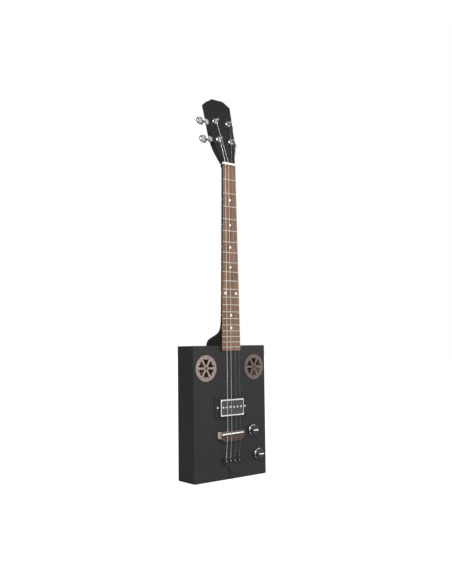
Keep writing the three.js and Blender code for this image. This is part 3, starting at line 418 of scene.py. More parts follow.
keep("wound_string", wound("wound_string", (0.81, 0.765, 0.69), (0.9, 0.86, 0.79), 2.4))
p = Paint("plain_string", Metallic=1.0)
p.set("Base Color", p.mix(p.noise(900, 3), (0.3, 0.3, 0.31), (0.45, 0.45, 0.45)))
p.set("Roughness", p.remap(p.noise(1500, 3), 0.3, 0.7, 0.3, 0.42))
p.bump((p.noise(1.0, 3, 0.6, p.scaled(2500, 2500, 60)), 0.06, 0.01))
keep("plain_string", p)

p = Paint("black_metal", Metallic=0.3, Specular_IOR_Level=0.6)
p.set("Base Color", p.mix(p.noise(160, 4), (0.016, 0.016, 0.017), (0.03, 0.03, 0.031)))
p.set("Roughness", p.remap(p.noise(420, 4, 0.6), 0.3, 0.7, 0.34, 0.5))
p.bump((p.noise(1300, 3), 0.14, 0.03))
keep("black_metal", p)

p = Paint("black_plastic", Specular_IOR_Level=0.5)
tone = p.mix(p.noise(200, 3), (0.008, 0.008, 0.009), (0.014, 0.014, 0.015))
# Tuned to one photograph: painted light, the ring's end walls are painted greyer than its face to lift the shade on
# them.
painted_wall_light = p.remap(p.math("ABSOLUTE", p.xyz[0]), 0.0443, 0.0448)
p.set("Base Color", p.mix(p.math("MULTIPLY", painted_wall_light, 0.8), tone, (0.07, 0.07, 0.07)))
p.set("Roughness", p.remap(p.noise(300, 3), 0.3, 0.75, 0.3, 0.44))
p.bump((p.noise(900, 3), 0.1, 0.03))
keep("black_plastic", p)

# The knobs' plastic is polished.
p = Paint("knob_plastic", Specular_IOR_Level=1.0, Coat_Weight=0.6, Coat_IOR=1.6, Coat_Roughness=0.1)
p.set("Base Color", p.mix(p.noise(200, 3), (0.008, 0.008, 0.0095), (0.014, 0.0135, 0.0155)))
p.set("Roughness", p.remap(p.noise(300, 3), 0.3, 0.75, 0.1, 0.2))
p.bump((p.noise(500, 2), 0.06, 0.04))
keep("knob_plastic", p)

p = Paint("bobbin_plastic", Specular_IOR_Level=0.6)
p.set("Base Color", p.mix(p.noise(90, 3), (0.045, 0.042, 0.04), (0.062, 0.058, 0.056)))
p.set("Roughness", p.remap(p.noise(300, 3), 0.3, 0.75, 0.25, 0.4))
p.bump((p.noise(700, 2), 0.06, 0.03))
keep("bobbin_plastic", p)

p = Paint("copper_wire", Metallic=0.9)
layer = p.math("SINE", p.math("MULTIPLY", p.xyz[2], 9000.0))
p.set("Base Color", p.mix(p.noise(800, 3), (0.42, 0.16, 0.06), (0.7, 0.32, 0.14)))
p.set("Roughness", p.remap(layer, -1.0, 1.0, 0.28, 0.45))
p.bump((layer, 0.3, 0.05))
keep("copper_wire", p)

p = Paint("steel", Metallic=1.0)
p.set("Base Color", p.mix(p.noise(300, 4), (0.48, 0.48, 0.49), (0.64, 0.63, 0.62)))
p.set("Roughness", p.remap(p.noise(700, 4, 0.6), 0.3, 0.7, 0.22, 0.4))
p.bump((p.noise(1600, 3), 0.1, 0.02))
keep("steel", p)

# The pickup frame's top is nickel with a milky shine: a painted sheen, its pale diffuse share keeps it bright under any
# light.
p = Paint("frame_nickel", Metallic=0.42, Specular_IOR_Level=0.9)
p.set("Base Color", p.mix(p.noise(260, 4), (0.9, 0.9, 0.89), (0.97, 0.97, 0.96)))
p.set("Roughness", p.remap(p.noise(1.0, 3, 0.6, p.scaled(300, 300, 1400)), 0.3, 0.7, 0.14, 0.26))
p.bump((p.noise(1.0, 3, 0.6, p.scaled(200, 200, 1800)), 0.04, 0.01))
keep("frame_nickel", p)

p = Paint("screw_nickel", Metallic=0.55, Specular_IOR_Level=0.8)
p.set("Base Color", p.mix(p.noise(500, 4), (0.84, 0.84, 0.83), (0.95, 0.95, 0.94)))
p.set("Roughness", p.remap(p.noise(900, 4, 0.6), 0.3, 0.7, 0.16, 0.3))
p.bump((p.noise(1600, 3), 0.08, 0.02))
keep("screw_nickel", p)

p = Paint("cable_jacket")
p.set("Base Color", p.mix(p.noise(300, 3), (0.02, 0.02, 0.021), (0.035, 0.034, 0.034)))
p.set("Roughness", p.remap(p.noise(500, 3), 0.3, 0.7, 0.45, 0.6))
p.bump((p.noise(1200, 3), 0.15, 0.03))
keep("cable", p)

p = Paint("capacitor_ceramic")
p.set("Base Color", p.mix(p.noise(500, 4), (0.4, 0.17, 0.045), (0.5, 0.23, 0.07)))
p.set("Roughness", p.remap(p.noise(500, 3), 0.3, 0.7, 0.3, 0.5))
p.bump((p.noise(900, 3), 0.2, 0.05))
keep("capacitor", p)

p = Paint("pearl_inlay", Specular_IOR_Level=0.6)
p.set("Base Color", p.mix(p.noise(420, 3, 0.5, None, 1.5), (0.86, 0.85, 0.8), (0.95, 0.95, 0.93)))
p.set("Roughness", p.remap(p.noise(600, 2), 0.3, 0.7, 0.18, 0.3))
p.bump((p.noise(900, 2), 0.05, 0.02))
keep("pearl", p)

p = Paint("pointer_white")
p.set("Base Color", p.mix(p.noise(500, 3), (0.84, 0.84, 0.83), (0.93, 0.93, 0.92)))
p.set("Roughness", p.remap(p.noise(600, 2), 0.3, 0.7, 0.3, 0.45))
keep("pointer", p)

p = Paint("brass_end", Metallic=1.0)
p.set("Base Color", p.mix(p.noise(900, 3), (0.82, 0.8, 0.74), (0.93, 0.91, 0.87)))
p.set("Roughness", p.remap(p.noise(1200, 3), 0.3, 0.7, 0.16, 0.3))
p.bump((p.noise(1500, 2), 0.05, 0.02))
keep("ball", p)


# ------------------------------------------------------------------ shapes
def pchip(table, column):
    """A smooth curve through a column of a table over its first column, with no overshoot."""
    xs = [row[0] for row in table]
    ys = [row[column] for row in table]
    count = len(xs)
    step = [(ys[i + 1] - ys[i]) / (xs[i + 1] - xs[i]) for i in range(count - 1)]
    slope = [step[0]]
    for i in range(1, count - 1):
        a, b = step[i - 1], step[i]
        if a * b <= 0:
            slope.append(0.0)
        else:
            wa = 2 * (xs[i + 1] - xs[i]) + (xs[i] - xs[i - 1])
            wb = (xs[i + 1] - xs[i]) + 2 * (xs[i] - xs[i - 1])
            slope.append((wa + wb) / (wa / a + wb / b))
    slope.append(step[-1])

    def at(x):
        if x <= xs[0]:
            return ys[0]
        if x >= xs[-1]:
            return ys[-1]
        i = max(k for k in range(count - 1) if xs[k] <= x)
        h = xs[i + 1] - xs[i]
        t = (x - xs[i]) / h
        return (
            (2 * t**3 - 3 * t**2 + 1) * ys[i]
            + (t**3 - 2 * t**2 + t) * h * slope[i]
            + (3 * t**2 - 2 * t**3) * ys[i + 1]
            + (t**3 - t**2) * h * slope[i + 1]
        )

    return at


def rounded(points, radius, steps=3, closed=False):
    """A polyline with each corner rounded. radius is one number, or one for each point."""
    count = len(points)
    out = []
    for i, point in enumerate(points):
        r = radius[i] if isinstance(radius, (list, tuple)) else radius
        if (not closed and i in (0, count - 1)) or not r:
            out.append(tuple(point))
            continue
        here = Vector(point)
        before, after = Vector(points[i - 1]), Vector(points[(i + 1) % count])
        a, b = before - here, after - here
        da = min(r, 0.46 * a.length)
        db = min(r, 0.46 * b.length)
        start, end = here + a.normalized() * da, here + b.normalized() * db
        for k in range(steps + 1):
            t = k / steps
            q = start * (1 - t) ** 2 + here * 2 * t * (1 - t) + end * t * t
            out.append(tuple(q))
    return out


class Shape:
    """Faces that grow into one mesh, each with the index of its material."""

    def __init__(self):
        self.verts, self.faces, self.index = [], [], []

    def add(self, verts, faces, index=0):
        base = len(self.verts)
        self.verts += [tuple(v) for v in verts]
        self.faces += [tuple(base + i for i in f) for f in faces]
        self.index += [index] * len(faces)
        return self

    def join(self, other, place=lambda q: q, index=None):
        base = len(self.verts)
        self.verts += [tuple(place(v)) for v in other.verts]
        self.faces += [tuple(base + i for i in f) for f in other.faces]
        self.index += [index if index is not None else i for i in other.index]
        return self


def rings(shape, loops, caps=(True, True), closed=True, index=0):
    """Joins loops of points, all as long, into a skin."""
    width = len(loops[0])
    verts = [q for loop in loops for q in loop]
    faces = []
    for i in range(len(loops) - 1):
        for j in range(width if closed else width - 1):
            k = (j + 1) % width
            faces.append(
                (i * width + j, i * width + k, (i + 1) * width + k, (i + 1) * width + j)
            )
    if caps[0]:
        faces.append(tuple(reversed(range(width))))
    if caps[1]:
        faces.append(tuple(range((len(loops) - 1) * width, len(loops) * width)))
    return shape.add(verts, faces, index)


def lathe(shape, profile, place, sides=40, loop=False, wobble=None, index=0):
    """Turns a profile of (radius, height) about an axis. A profile that starts or ends at radius 0 closes in a point; loop closes it on itself."""
    verts, faces, rows = [], [], []
    for r, t in profile:
        if r < 1e-6:
            rows.append([len(verts)])
            verts.append(place(0, 0, t))
        else:
            row = []
            for j in range(sides):
                a = TAU * j / sides
                q = wobble(a, r, t) if wobble else r
                row.append(len(verts))
                verts.append(place(q * math.cos(a), q * math.sin(a), t))
            rows.append(row)
    pairs = list(zip(rows, rows[1:]))
    if loop:
        pairs.append((rows[-1], rows[0]))
    for low, high in pairs:
        for j in range(sides):
            k = (j + 1) % sides
            if len(low) == 1 and len(high) == 1:
                continue
            if len(low) == 1:
                faces.append((low[0], high[k], high[j]))
            elif len(high) == 1:
                faces.append((low[j], low[k], high[0]))
            else:
                faces.append((low[j], low[k], high[k], high[j]))
    return shape.add(verts, faces, index)


def tube(shape, points, radius, sides=12, index=0):
    """A round wire along points. radius is one number, or one for each point."""
    pts = [Vector(q) for q in points]
    radii = list(radius) if isinstance(radius, (list, tuple)) else [radius] * len(pts)
    heads = []
    for i in range(len(pts)):
        a, b = pts[max(i - 1, 0)], pts[min(i + 1, len(pts) - 1)]
        heads.append((b - a).normalized())
    across = heads[0].orthogonal().normalized()
    loops = []
    for i, (q, d) in enumerate(zip(pts, heads)):
        across = (across - d * across.dot(d)).normalized()
        other = d.cross(across)
        loops.append(
            [
                q
                + radii[i]
                * (across * math.cos(TAU * j / sides) + other * math.sin(TAU * j / sides))
                for j in range(sides)
            ]
        )
    return rings(shape, loops, index=index)


def prism(shape, outline, place, low, high, soft=0.0, steps=2, index=0):
    """A plate of that outline from low to high, its rims rounded by soft."""
    if not soft:
        loops = [[place(u, v, low) for u, v in outline], [place(u, v, high) for u, v in outline]]
        return rings(shape, loops, index=index)
    count = len(outline)
    normals = []
    area = sum(
        outline[i][0] * outline[(i + 1) % count][1] - outline[(i + 1) % count][0] * outline[i][1]
        for i in range(count)
    )
    turn = 1 if area > 0 else -1
    for i in range(count):
        a, b = Vector(outline[i - 1]), Vector(outline[(i + 1) % count])
        d = (b - a).normalized()
        normals.append((d.y * turn, -d.x * turn))
    loops = []

    def loop(inset, t):
        return [
            place(u - nx * inset, v - ny * inset, t)
            for (u, v), (nx, ny) in zip(outline, normals)
        ]

    for k in range(steps + 1):
        a = PI / 2 * k / steps
        loops.append(loop(soft * (1 - math.sin(a)), low + soft * (1 - math.cos(a))))
    for k in range(steps + 1):
        a = PI / 2 * k / steps
        loops.append(loop(soft * (1 - math.cos(a)), high - soft * (1 - math.sin(a))))
    return rings(shape, loops, index=index)


def piece(name, shape, body, slots, stands_for=(), sharp=38):
    """Makes a shape's mesh, lets it ride on a body and gives it its finish."""
    slots = [slots] if isinstance(slots, str) else list(slots)
    mesh = bpy.data.meshes.new(name)
    mesh.from_pydata([tuple(c * MM for c in v) for v in shape.verts], [], shape.faces)
    mesh.polygons.foreach_set("material_index", shape.index)
    work = bmesh.new()
    work.from_mesh(mesh)
    bmesh.ops.remove_doubles(work, verts=work.verts, dist=2e-7)
    bmesh.ops.recalc_face_normals(work, faces=work.faces)
    work.to_mesh(mesh)
    work.free()
    mesh.polygons.foreach_set("use_smooth", [True] * len(mesh.polygons))
    mesh.set_sharp_from_angle(angle=math.radians(sharp))
    obj = bpy.data.objects.new(name, mesh)
    bpy.context.scene.collection.objects.link(obj)
    for slot in slots:
        mesh.materials.append(MATERIALS[slot])
    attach(obj, body)
    if stands_for:
        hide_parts(*stands_for)
    return obj


def carve(shape, *cutters):
    """The shape with each cutter's volume taken away."""
    made = []
    for i, part in enumerate([shape, *cutters]):
        mesh = bpy.data.meshes.new(f"carve_{i}")
        mesh.from_pydata([tuple(v) for v in part.verts], [], part.faces)
        mesh.polygons.foreach_set("material_index", part.index)
        work = bmesh.new()
        work.from_mesh(mesh)
        bmesh.ops.remove_doubles(work, verts=work.verts, dist=1e-4)
        bmesh.ops.recalc_face_normals(work, faces=work.faces)
        work.to_mesh(mesh)
        work.free()
        obj = bpy.data.objects.new(f"carve_{i}", mesh)
        bpy.context.scene.collection.objects.link(obj)
        made.append(obj)
    for other in made[1:]:
        cut = made[0].modifiers.new("cut", "BOOLEAN")
        cut.operation, cut.solver, cut.object = "DIFFERENCE", "EXACT", other
    got = bpy.data.meshes.new_from_object(
        made[0].evaluated_get(bpy.context.evaluated_depsgraph_get())
    )
    out = Shape()
    out.add(
        [tuple(v.co) for v in got.vertices],
        [tuple(f.vertices) for f in got.polygons],
    )
    meshes = [o.data for o in made]
    for obj in made:
        bpy.data.objects.remove(obj, do_unlink=True)
    for mesh in [*meshes, got]:
        bpy.data.meshes.remove(mesh)
    return out


def block(x0, x1, y0, y1, z0, z1):
    shape = Shape()
    loops = [
        [(x0, y0, z), (x1, y0, z), (x1, y1, z), (x0, y1, z)] for z in (z0, z1)
    ]
    return rings(shape, loops)


def soften(obj, width, segments=3, angle=32):
    bevel = obj.modifiers.new("soft_edges", "BEVEL")
    bevel.width = width * MM
    bevel.segments = segments
    bevel.limit_method = "ANGLE"
    bevel.angle_limit = math.radians(angle)
    bevel.harden_normals = True
    bevel.use_clamp_overlap = True
    return obj


def finish_node(name, slot, width=0.3, segments=2, angle=30):
    """Gives a CAD node its material and softened edges."""
    obj = NODES[name]
    mesh = obj.data
    for attribute in ("custom_normal",):
        if attribute in mesh.attributes:
            mesh.attributes.remove(mesh.attributes[attribute])
    mesh.polygons.foreach_set("use_smooth", [True] * len(mesh.polygons))
    if not obj.material_slots:
        mesh.materials.append(MATERIALS[slot])
    for s in obj.material_slots:
        s.link = "OBJECT"
        s.material = MATERIALS[slot]
    weld = obj.modifiers.new("weld", "WELD")
    weld.merge_threshold = 2e-6
    flat = obj.modifiers.new("flat_faces", "DECIMATE")
    flat.decimate_type = "DISSOLVE"
    flat.angle_limit = math.radians(0.6)
    soften(obj, width, segments, angle)
    return obj


def front(x0, y0, z0):
    """Places a turned shape with its axis out of the front face."""
    return lambda u, v, t: (x0 + u, y0 - t, z0 + v)


def back(x0, y0, z0):
    return lambda u, v, t: (x0 - u, y0 + t, z0 + v)


def to_treble(x0, y0, z0):
    return lambda u, v, t: (x0 + t, y0 + u, z0 + v)


def on_head(x0, v0, h0=0.0):
    return lambda u, v, t: head(x0 + u, v0 + v, h0 + t)


def behind_head(x0, v0, h0):
    return lambda u, v, t: head(x0 - u, v0 + v, h0 - t)


def screw_head(radius, high, kind, turn=0.0):
    """A small domed screw head with a slot or a cross, its foot at height 0."""
    dome = Shape()
    profile = rounded(
        [(0, -0.6), (radius * 0.92, -0.6), (radius, 0.12 * high), (radius * 0.8, high * 0.78), (0, high)],
        [0, 0.1, 0.3 * high, 0.5 * radius, 0],
        4,
    )
    lathe(dome, profile, lambda u, v, t: (u, v, t), 28)
    width = radius * (0.26 if kind == "slot" else 0.22)
    reach = radius * (1.2 if kind == "slot" else 0.62)
    cutters = [block(-reach, reach, -width, width, high * 0.35, high + 1)]
    if kind == "cross":
        cutters.append(block(-width, width, -reach, reach, high * 0.34, high + 1.01))
    cut = carve(dome, *cutters)
    c, s = math.cos(turn), math.sin(turn)
    cut.verts = [(x * c - y * s, x * s + y * c, z) for x, y, z in cut.verts]
    return cut


def placed(shape, place):
    out = Shape()
    out.join(shape, lambda q: place(q[0], q[1], q[2]))
    return out


# ------------------------------------------------------------------ neck and headstock
ALONG = [
    (297.5, 57.6, 0.13, 0.13),
    (301, 57.4, 0.13, 0.13),
    (305, 56.2, 0.15, 0.15),
    (309, 53.8, 0.18, 0.18),
    (312.5, 50, 0.22, 0.22),
    (315.5, 44.8, 0.28, 0.28),
    (318.5, 38.2, 0.36, 0.36),
    (322, 30.8, 0.48, 0.5),
    (326.5, 24, 0.64, 0.74),
    (332, 19.4, 0.8, 1),
    (340, 16.8, 0.9, 1.2),
    (352, 14.6, 0.97, 1.4),
    (406, 13.4, 1, 1.55),
    (560, 12.6, 1, 1.6),
    (680, 12, 1, 1.6),
    (703, 12.1, 1, 1.5),
    (710, 14.4, 0.88, 1),
]
RUN_OUT = [
    (0, 16.6, 0.68, 0.74),
    (5, 17.6, 0.48, 0.52),
    (11, 18, 0.34, 0.36),
    (18, 18, 0.24, 0.24),
    (28, 17.8, 0.17, 0.17),
    (42, 17.5, 0.13, 0.13),
    (151, 17.5, 0.11, 0.11),
]
HEAD_OUTLINE = [
    (-6, 18.3, 18.3),
    (0, 18.4, 18.4),
    (6, 18.9, 18.9),
    (13, 20.2, 20.3),
    (21, 22.6, 23.1),
    (30, 25.6, 26.9),
    (39, 28, 30.1),
    (48, 29.6, 32.5),
    (59, 30.5, 34.3),
    (75, 30.5, 35.8),
    (95, 31.4, 36.5),
    (125, 33.2, 36.7),
    (151, 34.2, 37.8),
]
CROWN = [(152.2, 31, 36), (155, 26.8, 30.5), (158.8, 21.6, 24.6), (162, 15.8, 20), (163, 12, 16.8)]
STEPS = 44


def section(half, depth, across, down):
    """The neck's rounded back as (x, depth) from the treble edge to the bass edge."""
    out = []
    for i in range(STEPS + 1):
        a = PI * i / STEPS
        c, s = math.cos(a), abs(math.sin(a))
        c = 0.0 if abs(c) < 1e-9 else c
        s = 0.0 if s < 1e-9 else s
        out.append(
            (
                half * math.copysign(abs(c) ** across, c) if c else 0.0,
                depth * s**down if s else 0.0,
            )
        )
    return out


def spread(table, start, end, step):
    count = max(1, round((end - start) / step))
    return [start + (end - start) * i / count for i in range(count + 1)]


neck = Shape()
depth_at, across_at, down_at = (pchip(ALONG, i) for i in (1, 2, 3))
loops = []
for z in spread(ALONG, 297.5, 345, 1.6)[:-1] + spread(ALONG, 345, 690, 9)[:-1] + spread(ALONG, 690, 710, 2.5):
    ring = section(board_half(z), depth_at(z), across_at(z), down_at(z))
    loops.append([(x, FRONT + s, z) for x, s in ring])
treble_edge, bass_edge = pchip(HEAD_OUTLINE, 1), pchip(HEAD_OUTLINE, 2)


def head_ring(v, treble, bass, depth, across, down):
    return [
        head(x + (treble - bass) / 2, v, -s)
        for x, s in section((treble + bass) / 2, depth, across, down)
    ]


head_depth, head_across, head_down = (pchip(RUN_OUT, i) for i in (1, 2, 3))
first_head = head_ring(
    0, treble_edge(0), bass_edge(0), head_depth(0), head_across(0), head_down(0)
)
last_neck = loops[-1]
# The nut's seat: a step in the front, while the back runs on smoothly.
for share, y, z in ((0.35, FRONT, NUT_Z), (0.4, -31.0, NUT_Z), (0.9, -31.0, HEAD_Z)):
    ring = []
    for j, (a, b) in enumerate(zip(last_neck, first_head)):
        blend = [a[k] + (b[k] - a[k]) * share for k in range(3)]
        if j in (0, STEPS):
            ring.append((blend[0], y, z))
        else:
            ring.append(tuple(blend))
    loops.append(ring)
for v in spread(RUN_OUT, 0, 48, 2.4)[:-1] + spread(RUN_OUT, 48, 151, 10):
    loops.append(
        head_ring(
            v, treble_edge(v), bass_edge(v), head_depth(v), head_across(v), head_down(v)
        )
    )
for v, treble, bass in CROWN:
    loops.append(head_ring(v, treble, bass, HEAD_T, 0.11, 0.11))
rings(neck, loops)
holes = []
for x, v in POSTS:
    hole = Shape()
    lathe(
        hole,
        [(0, -HEAD_T - 3), (5, -HEAD_T - 3), (5, 3), (0, 3)],
        on_head(x, v),
        32,
    )
    holes.append(hole)
neck = carve(neck, *holes)
neck.join(block(-12, 12, -20, 10, 262, 297.6))
soften(
    piece("neck_and_headstock", neck, "body", "neck_black", ["neck"], sharp=42),
    0.9,
    3,
    44,
)

# Position dots on the board and along its bass edge.
dots = Shape()
side_dots = Shape()


def dot_z(n):
    return (fret_z(n) + fret_z(n - 1)) / 2


disc = rounded([(0, -0.5), (3.0, -0.5), (3.0, 0.05), (0, 0.06)], [0, 0, 0.04, 0], 2)
for n in (3, 5, 7, 9, 12, 15, 17):
    for x in (-16, 16) if n == 12 else (0,):
        lathe(dots, disc, front(x, BOARD_TOP, dot_z(n)), 32)
    small = [(0, -0.4), (1.0, -0.4), (1.0, 0.05), (0, 0.06)]
    for dz in (-2.2, 2.2) if n == 12 else (0,):
        z = dot_z(n) + dz
        lathe(
            side_dots,
            small,
            lambda u, v, t, z=z: (-board_half(z) - t, -31.4 + u, z + v),
            16,
        )
piece("position_dots", dots, "body", "pearl")
piece("side_dots", side_dots, "body", "pearl")

# ------------------------------------------------------------------ tuners
BUTTON = [
    (0.16, 2.6),
    (0.3, 6),
    (1.6, 8.6),
    (4.2, 9.7),
    (7.6, 9.5),
    (11.2, 8.9),
    (14.4, 7.4),
    (16.6, 4.6),
    (17.6, 1.4),
]
BUTTON = BUTTON + [(u, -v) for u, v in reversed(BUTTON)]
outline = rounded(BUTTON, 2.2, 3, closed=True)


def button_loop(grow, h):
    return [(8.8 + (u - 8.8) * grow, v * grow, h) for u, v in outline]


slot_screw = {
    "pole": [screw_head(2.3, 0.5, "slot", a) for a in (0.3, 1.1, -0.5, 0.8, 0.1, 1.4)],
    "height": [screw_head(2.5, 1.7, "cross", a) for a in (0.4, 1.0)],
    "small": [screw_head(1.7, 0.9, "cross", a) for a in (0.2, 0.9, 0.5, 1.2)],
    "plate": [screw_head(2.4, 1.1, "cross", a) for a in (0.1, 0.7, 1.1, 0.4)],
}

for i, (px, pv) in enumerate(POSTS):
    n = i + 1
    out = math.copysign(1, px)
    worm_v = pv + WORM_OFFSET
    length = 54.6 - abs(px)

    def along_shaft(u, v, t, px=px, out=out, worm_v=worm_v):
        # t runs from the post's axis to the button, u towards the nut, v out of the face
        return head(px + out * t, worm_v - out * u, WORM_H + v)

    # Button: a pillow with a flat middle, on its collar and shaft.
    shape = Shape()
    levels = [
        (0.0, -3.3),
        (0.45, -3.36),
        (0.7, -3.3),
        (0.84, -3.05),
        (0.92, -2.6),
        (0.97, -1.9),
        (0.995, -1.0),
        (1.0, 0.0),
        (0.995, 1.0),
        (0.97, 1.9),
        (0.92, 2.6),
        (0.84, 3.05),
        (0.7, 3.3),
        (0.45, 3.36),
        (0.0, 3.3),
    ]
    base = length - 17.6
    pillow = Shape()
    rings(
        pillow,
        [button_loop(max(g, 0.02), h) for g, h in levels],
    )
    shape.join(
        pillow, lambda q: along_shaft(-q[1], q[2], base + q[0])
    )
    profile = rounded(
        [
            (0, 7.2),
            (1.55, 7.2),
            (1.55, length - 22.6),
            (2.9, length - 22.1),
            (2.9, length - 20),
            (2.1, length - 18.8),
            (2.1, length - 16),
            (0, length - 16),
        ],
        [0, 0.1, 0.25, 0.5, 0.6, 0.5, 0, 0],
        3,
    )
    lathe(shape, profile, along_shaft, 28)
    # Worm: one right-hand thread on the shaft, in mesh with the wheel.
    pitch = TAU * 6.05 / 15
    rows = []
    sides = 36
    count = 70
    for k in range(count + 1):
        t = -6.6 + 13.2 * k / count
        fade = min(1.0, (6.6 - abs(t)) / 1.2)
        row = []
        for j in range(sides):
            a = TAU * j / sides
            # a is measured from up the headstock towards the face's outside
            phase = (t * out / pitch - (a - PI) / TAU) % 1.0
            d = min(phase, 1 - phase) * pitch
            crest = 1 - min(1.0, max(0.0, (d - 0.26) / 0.62))
            r = 1.9 + fade * 1.4 * crest
            row.append(
                head(px + out * t, worm_v + r * math.cos(a), WORM_H + r * math.sin(a))
            )
        rows.append(row)
    if out < 0:
        rows = rows[::-1]
    rings(shape, rows)
    stub = rounded([(0, -10.4), (1.5, -10.4), (1.5, -6.4), (0, -6.4)], [0, 0.4, 0, 0], 3)
    lathe(shape, stub, along_shaft, 24)
    stub = rounded([(0, 6.4), (1.5, 6.4), (1.5, 7.4), (0, 7.4)], 0, 3)
    lathe(shape, stub, along_shaft, 24)
    piece(f"tuner_key_{n}", shape, f"button_{n}", "dark_chrome", [f"tuner_button_{n}"], sharp=50)

    # Bushing: a dished washer and a hexagonal sleeve head round the post.
    shape = Shape()
    ring = rounded(
        [(3.25, -9), (4.7, -9), (4.7, 0.15), (7, 0.15), (6.95, 0.4), (6.1, 1.2), (5.1, 1.75), (4.4, 2.05), (3.25, 2.1)],
        [0, 0, 0, 0.1, 0.3, 0.5, 0.5, 0.3, 0.2],
        3,
    )
    lathe(shape, ring, on_head(px, pv), 48, loop=True)
    piece(f"bushing_{n}", shape, "body", "dark_chrome", [f"tuner_bushing_{n}"])

    # Post with its string hole's rim, and the wheel that the worm turns.
    shape = Shape()
    profile = rounded(
        [
            (0, -25.3),
            (3, -25.3),
            (3, 2.2),
            (2.3, 2.9),
            (2.3, 8.2),
            (3, 9.5),
            (3, 11.4),
            (2.3, 11.9),
            (0, 11.9),
        ],
        [0, 0, 0.8, 0.8, 0.8, 0.8, 0.5, 0.6, 0],
        4,
    )
    lathe(shape, profile, on_head(px, pv), 40)
    wheel = []
    for k in range(15):
        mid = PI / 2 + (k + 0.5) * TAU / 15
        for r, share in ((5.5, -0.38), (5.62, -0.3), (6.45, -0.2), (6.6, -0.13), (6.6, 0.13), (6.45, 0.2), (5.62, 0.3), (5.5, 0.38)):
            a = mid + share * TAU / 15
            wheel.append((r * math.cos(a), r * math.sin(a)))
    prism(shape, wheel, on_head(px, pv, WORM_H), -1.7, 1.6, 0.12, 1)
    shape.join(
        placed(slot_screw["height"][i % 2], behind_head(px, pv, WORM_H - 1.2))
    )
    piece(f"post_and_wheel_{n}", shape, f"post_{n}", "dark_chrome", [f"tuner_post_{n}"])

    # Screws that hold the machine to the back of the headstock.
    shape = Shape()
    for k, dv in enumerate((-8.0, 16.2)):
        shape.join(
            placed(slot_screw["small"][(i + 2 * k) % 4], behind_head(px + out * 0.0, pv + dv, -HEAD_T - 1.5))
        )
    piece(f"machine_screws_{n}", shape, "body", "dark_chrome")

# ------------------------------------------------------------------ strings
for i, (px, pv) in enumerate(POSTS):
    n = i + 1
    r = STRING_R[i]
    out = math.copysign(1, px)
    wrapped = n <= 2
    tail_x, nut_x = STRING_TAIL_X[i], STRING_NUT_X[i]
    saddle = (STRING_SADDLE_X[i], -40.12 - r, 101.3)
    line = [(tail_x, TAIL_Y, TAIL_TOP_Z - 4.2), (tail_x, TAIL_Y, TAIL_TOP_Z + 0.6)]
    for k in range(1, 12):
        t = k / 12
        line.append(tuple(Vector(line[1]).lerp(Vector(saddle), t)))
    line.append((saddle[0], saddle[1] + 0.12, saddle[2] - 1.2))
    line.append(saddle)
    nut = (nut_x, -36.72, NUT_Z + 1)
    for k in range(1, 24):
        line.append(tuple(Vector(saddle).lerp(Vector(nut), k / 24)))
    line.append(nut)
    leave = (nut_x, -36.6, HEAD_Z - 0.6)
    line.append(leave)
    # where that point lies in the headstock's own frame
    dy, dz = leave[1] - HEAD_Y, leave[2] - HEAD_Z
    from_v = dy * math.sin(TILT) + dz * math.cos(TILT)
    from_h = -dy * math.cos(TILT) + dz * math.sin(TILT)
    turn_r = 2.3 + r + 0.04
    dx, dv = px - nut_x, pv - from_v
    reach = math.hypot(dx, dv)
    start = math.atan2(dv, dx) + PI + out * math.acos(turn_r / reach)
    pitch = 2 * r + 0.1
    turns = 2.6 if wrapped else 3.4
    top = 6.9
    first = (px + turn_r * math.cos(start), pv + turn_r * math.sin(start), top)
    for k in range(1, 10):
        t = k / 10
        line.append(
            head(
                nut_x + (first[0] - nut_x) * t,
                from_v + (first[1] - from_v) * t,
                from_h + (first[2] - from_h) * t,
            )
        )
    per = 26
    for k in range(int(turns * per) + 1):
        a = start + out * TAU * k / per
        line.append(
            head(
                px + turn_r * math.cos(a),
                pv + turn_r * math.sin(a),
                top - pitch * k / per,
            )
        )
    # The cut end leaves the post and curls up a little.
    a = start + out * TAU * turns
    for k, (away, lift) in enumerate(((0.9, 0.1), (2.2, 0.5), (3.6, 1.5), (4.6, 3.0), (5.0, 4.4))):
        b = a + out * 0.24 * (k + 1)
        line.append(
            head(
                px + (turn_r + away) * math.cos(b),
                pv + (turn_r + away) * math.sin(b),
                top - pitch * turns + lift,
            )
        )
    shape = Shape()
    tube(shape, line, r, 10)
    # Lock twist above the ball end, wound back on the string.
    twist = []
    twist_top = 60.0 if wrapped else 64.0
    low_v, top_v = Vector(line[1]), Vector(saddle)
    wire = max(0.22, r * 0.72)
    steps = 150
    for k in range(steps + 1):
        t = k / steps
        z = TAIL_TOP_Z - 2.6 + (twist_top - TAIL_TOP_Z + 2.6) * t
        share = max(0.0, (z - low_v.z) / (top_v.z - low_v.z))
        centre = low_v.lerp(top_v, share)
        a = TAU * 7.5 * t
        q = r + wire * 0.75
        twist.append((centre.x + q * math.cos(a), centre.y + q * math.sin(a), z))
    tube(shape, twist, [wire] * steps + [wire * 0.5], 8)
    ball = rounded(
        [(0, -1.7), (1.9, -1.7), (1.9, -0.8), (1.35, -0.5), (1.35, 0.5), (1.9, 0.8), (1.9, 1.7), (0, 1.7)],
        [0, 0.4, 0.3, 0.3, 0.3, 0.3, 0.4, 0],
        3,
    )
    lathe(shape, ball, to_treble(tail_x, TAIL_Y, TAIL_TOP_Z - 5), 24, index=1)
    piece(
        f"string_wire_{n}",
        shape,
        "body",
        ["wound_string" if wrapped else "plain_string", "ball"],
        [f"string_{n}"],
        sharp=60,
    )

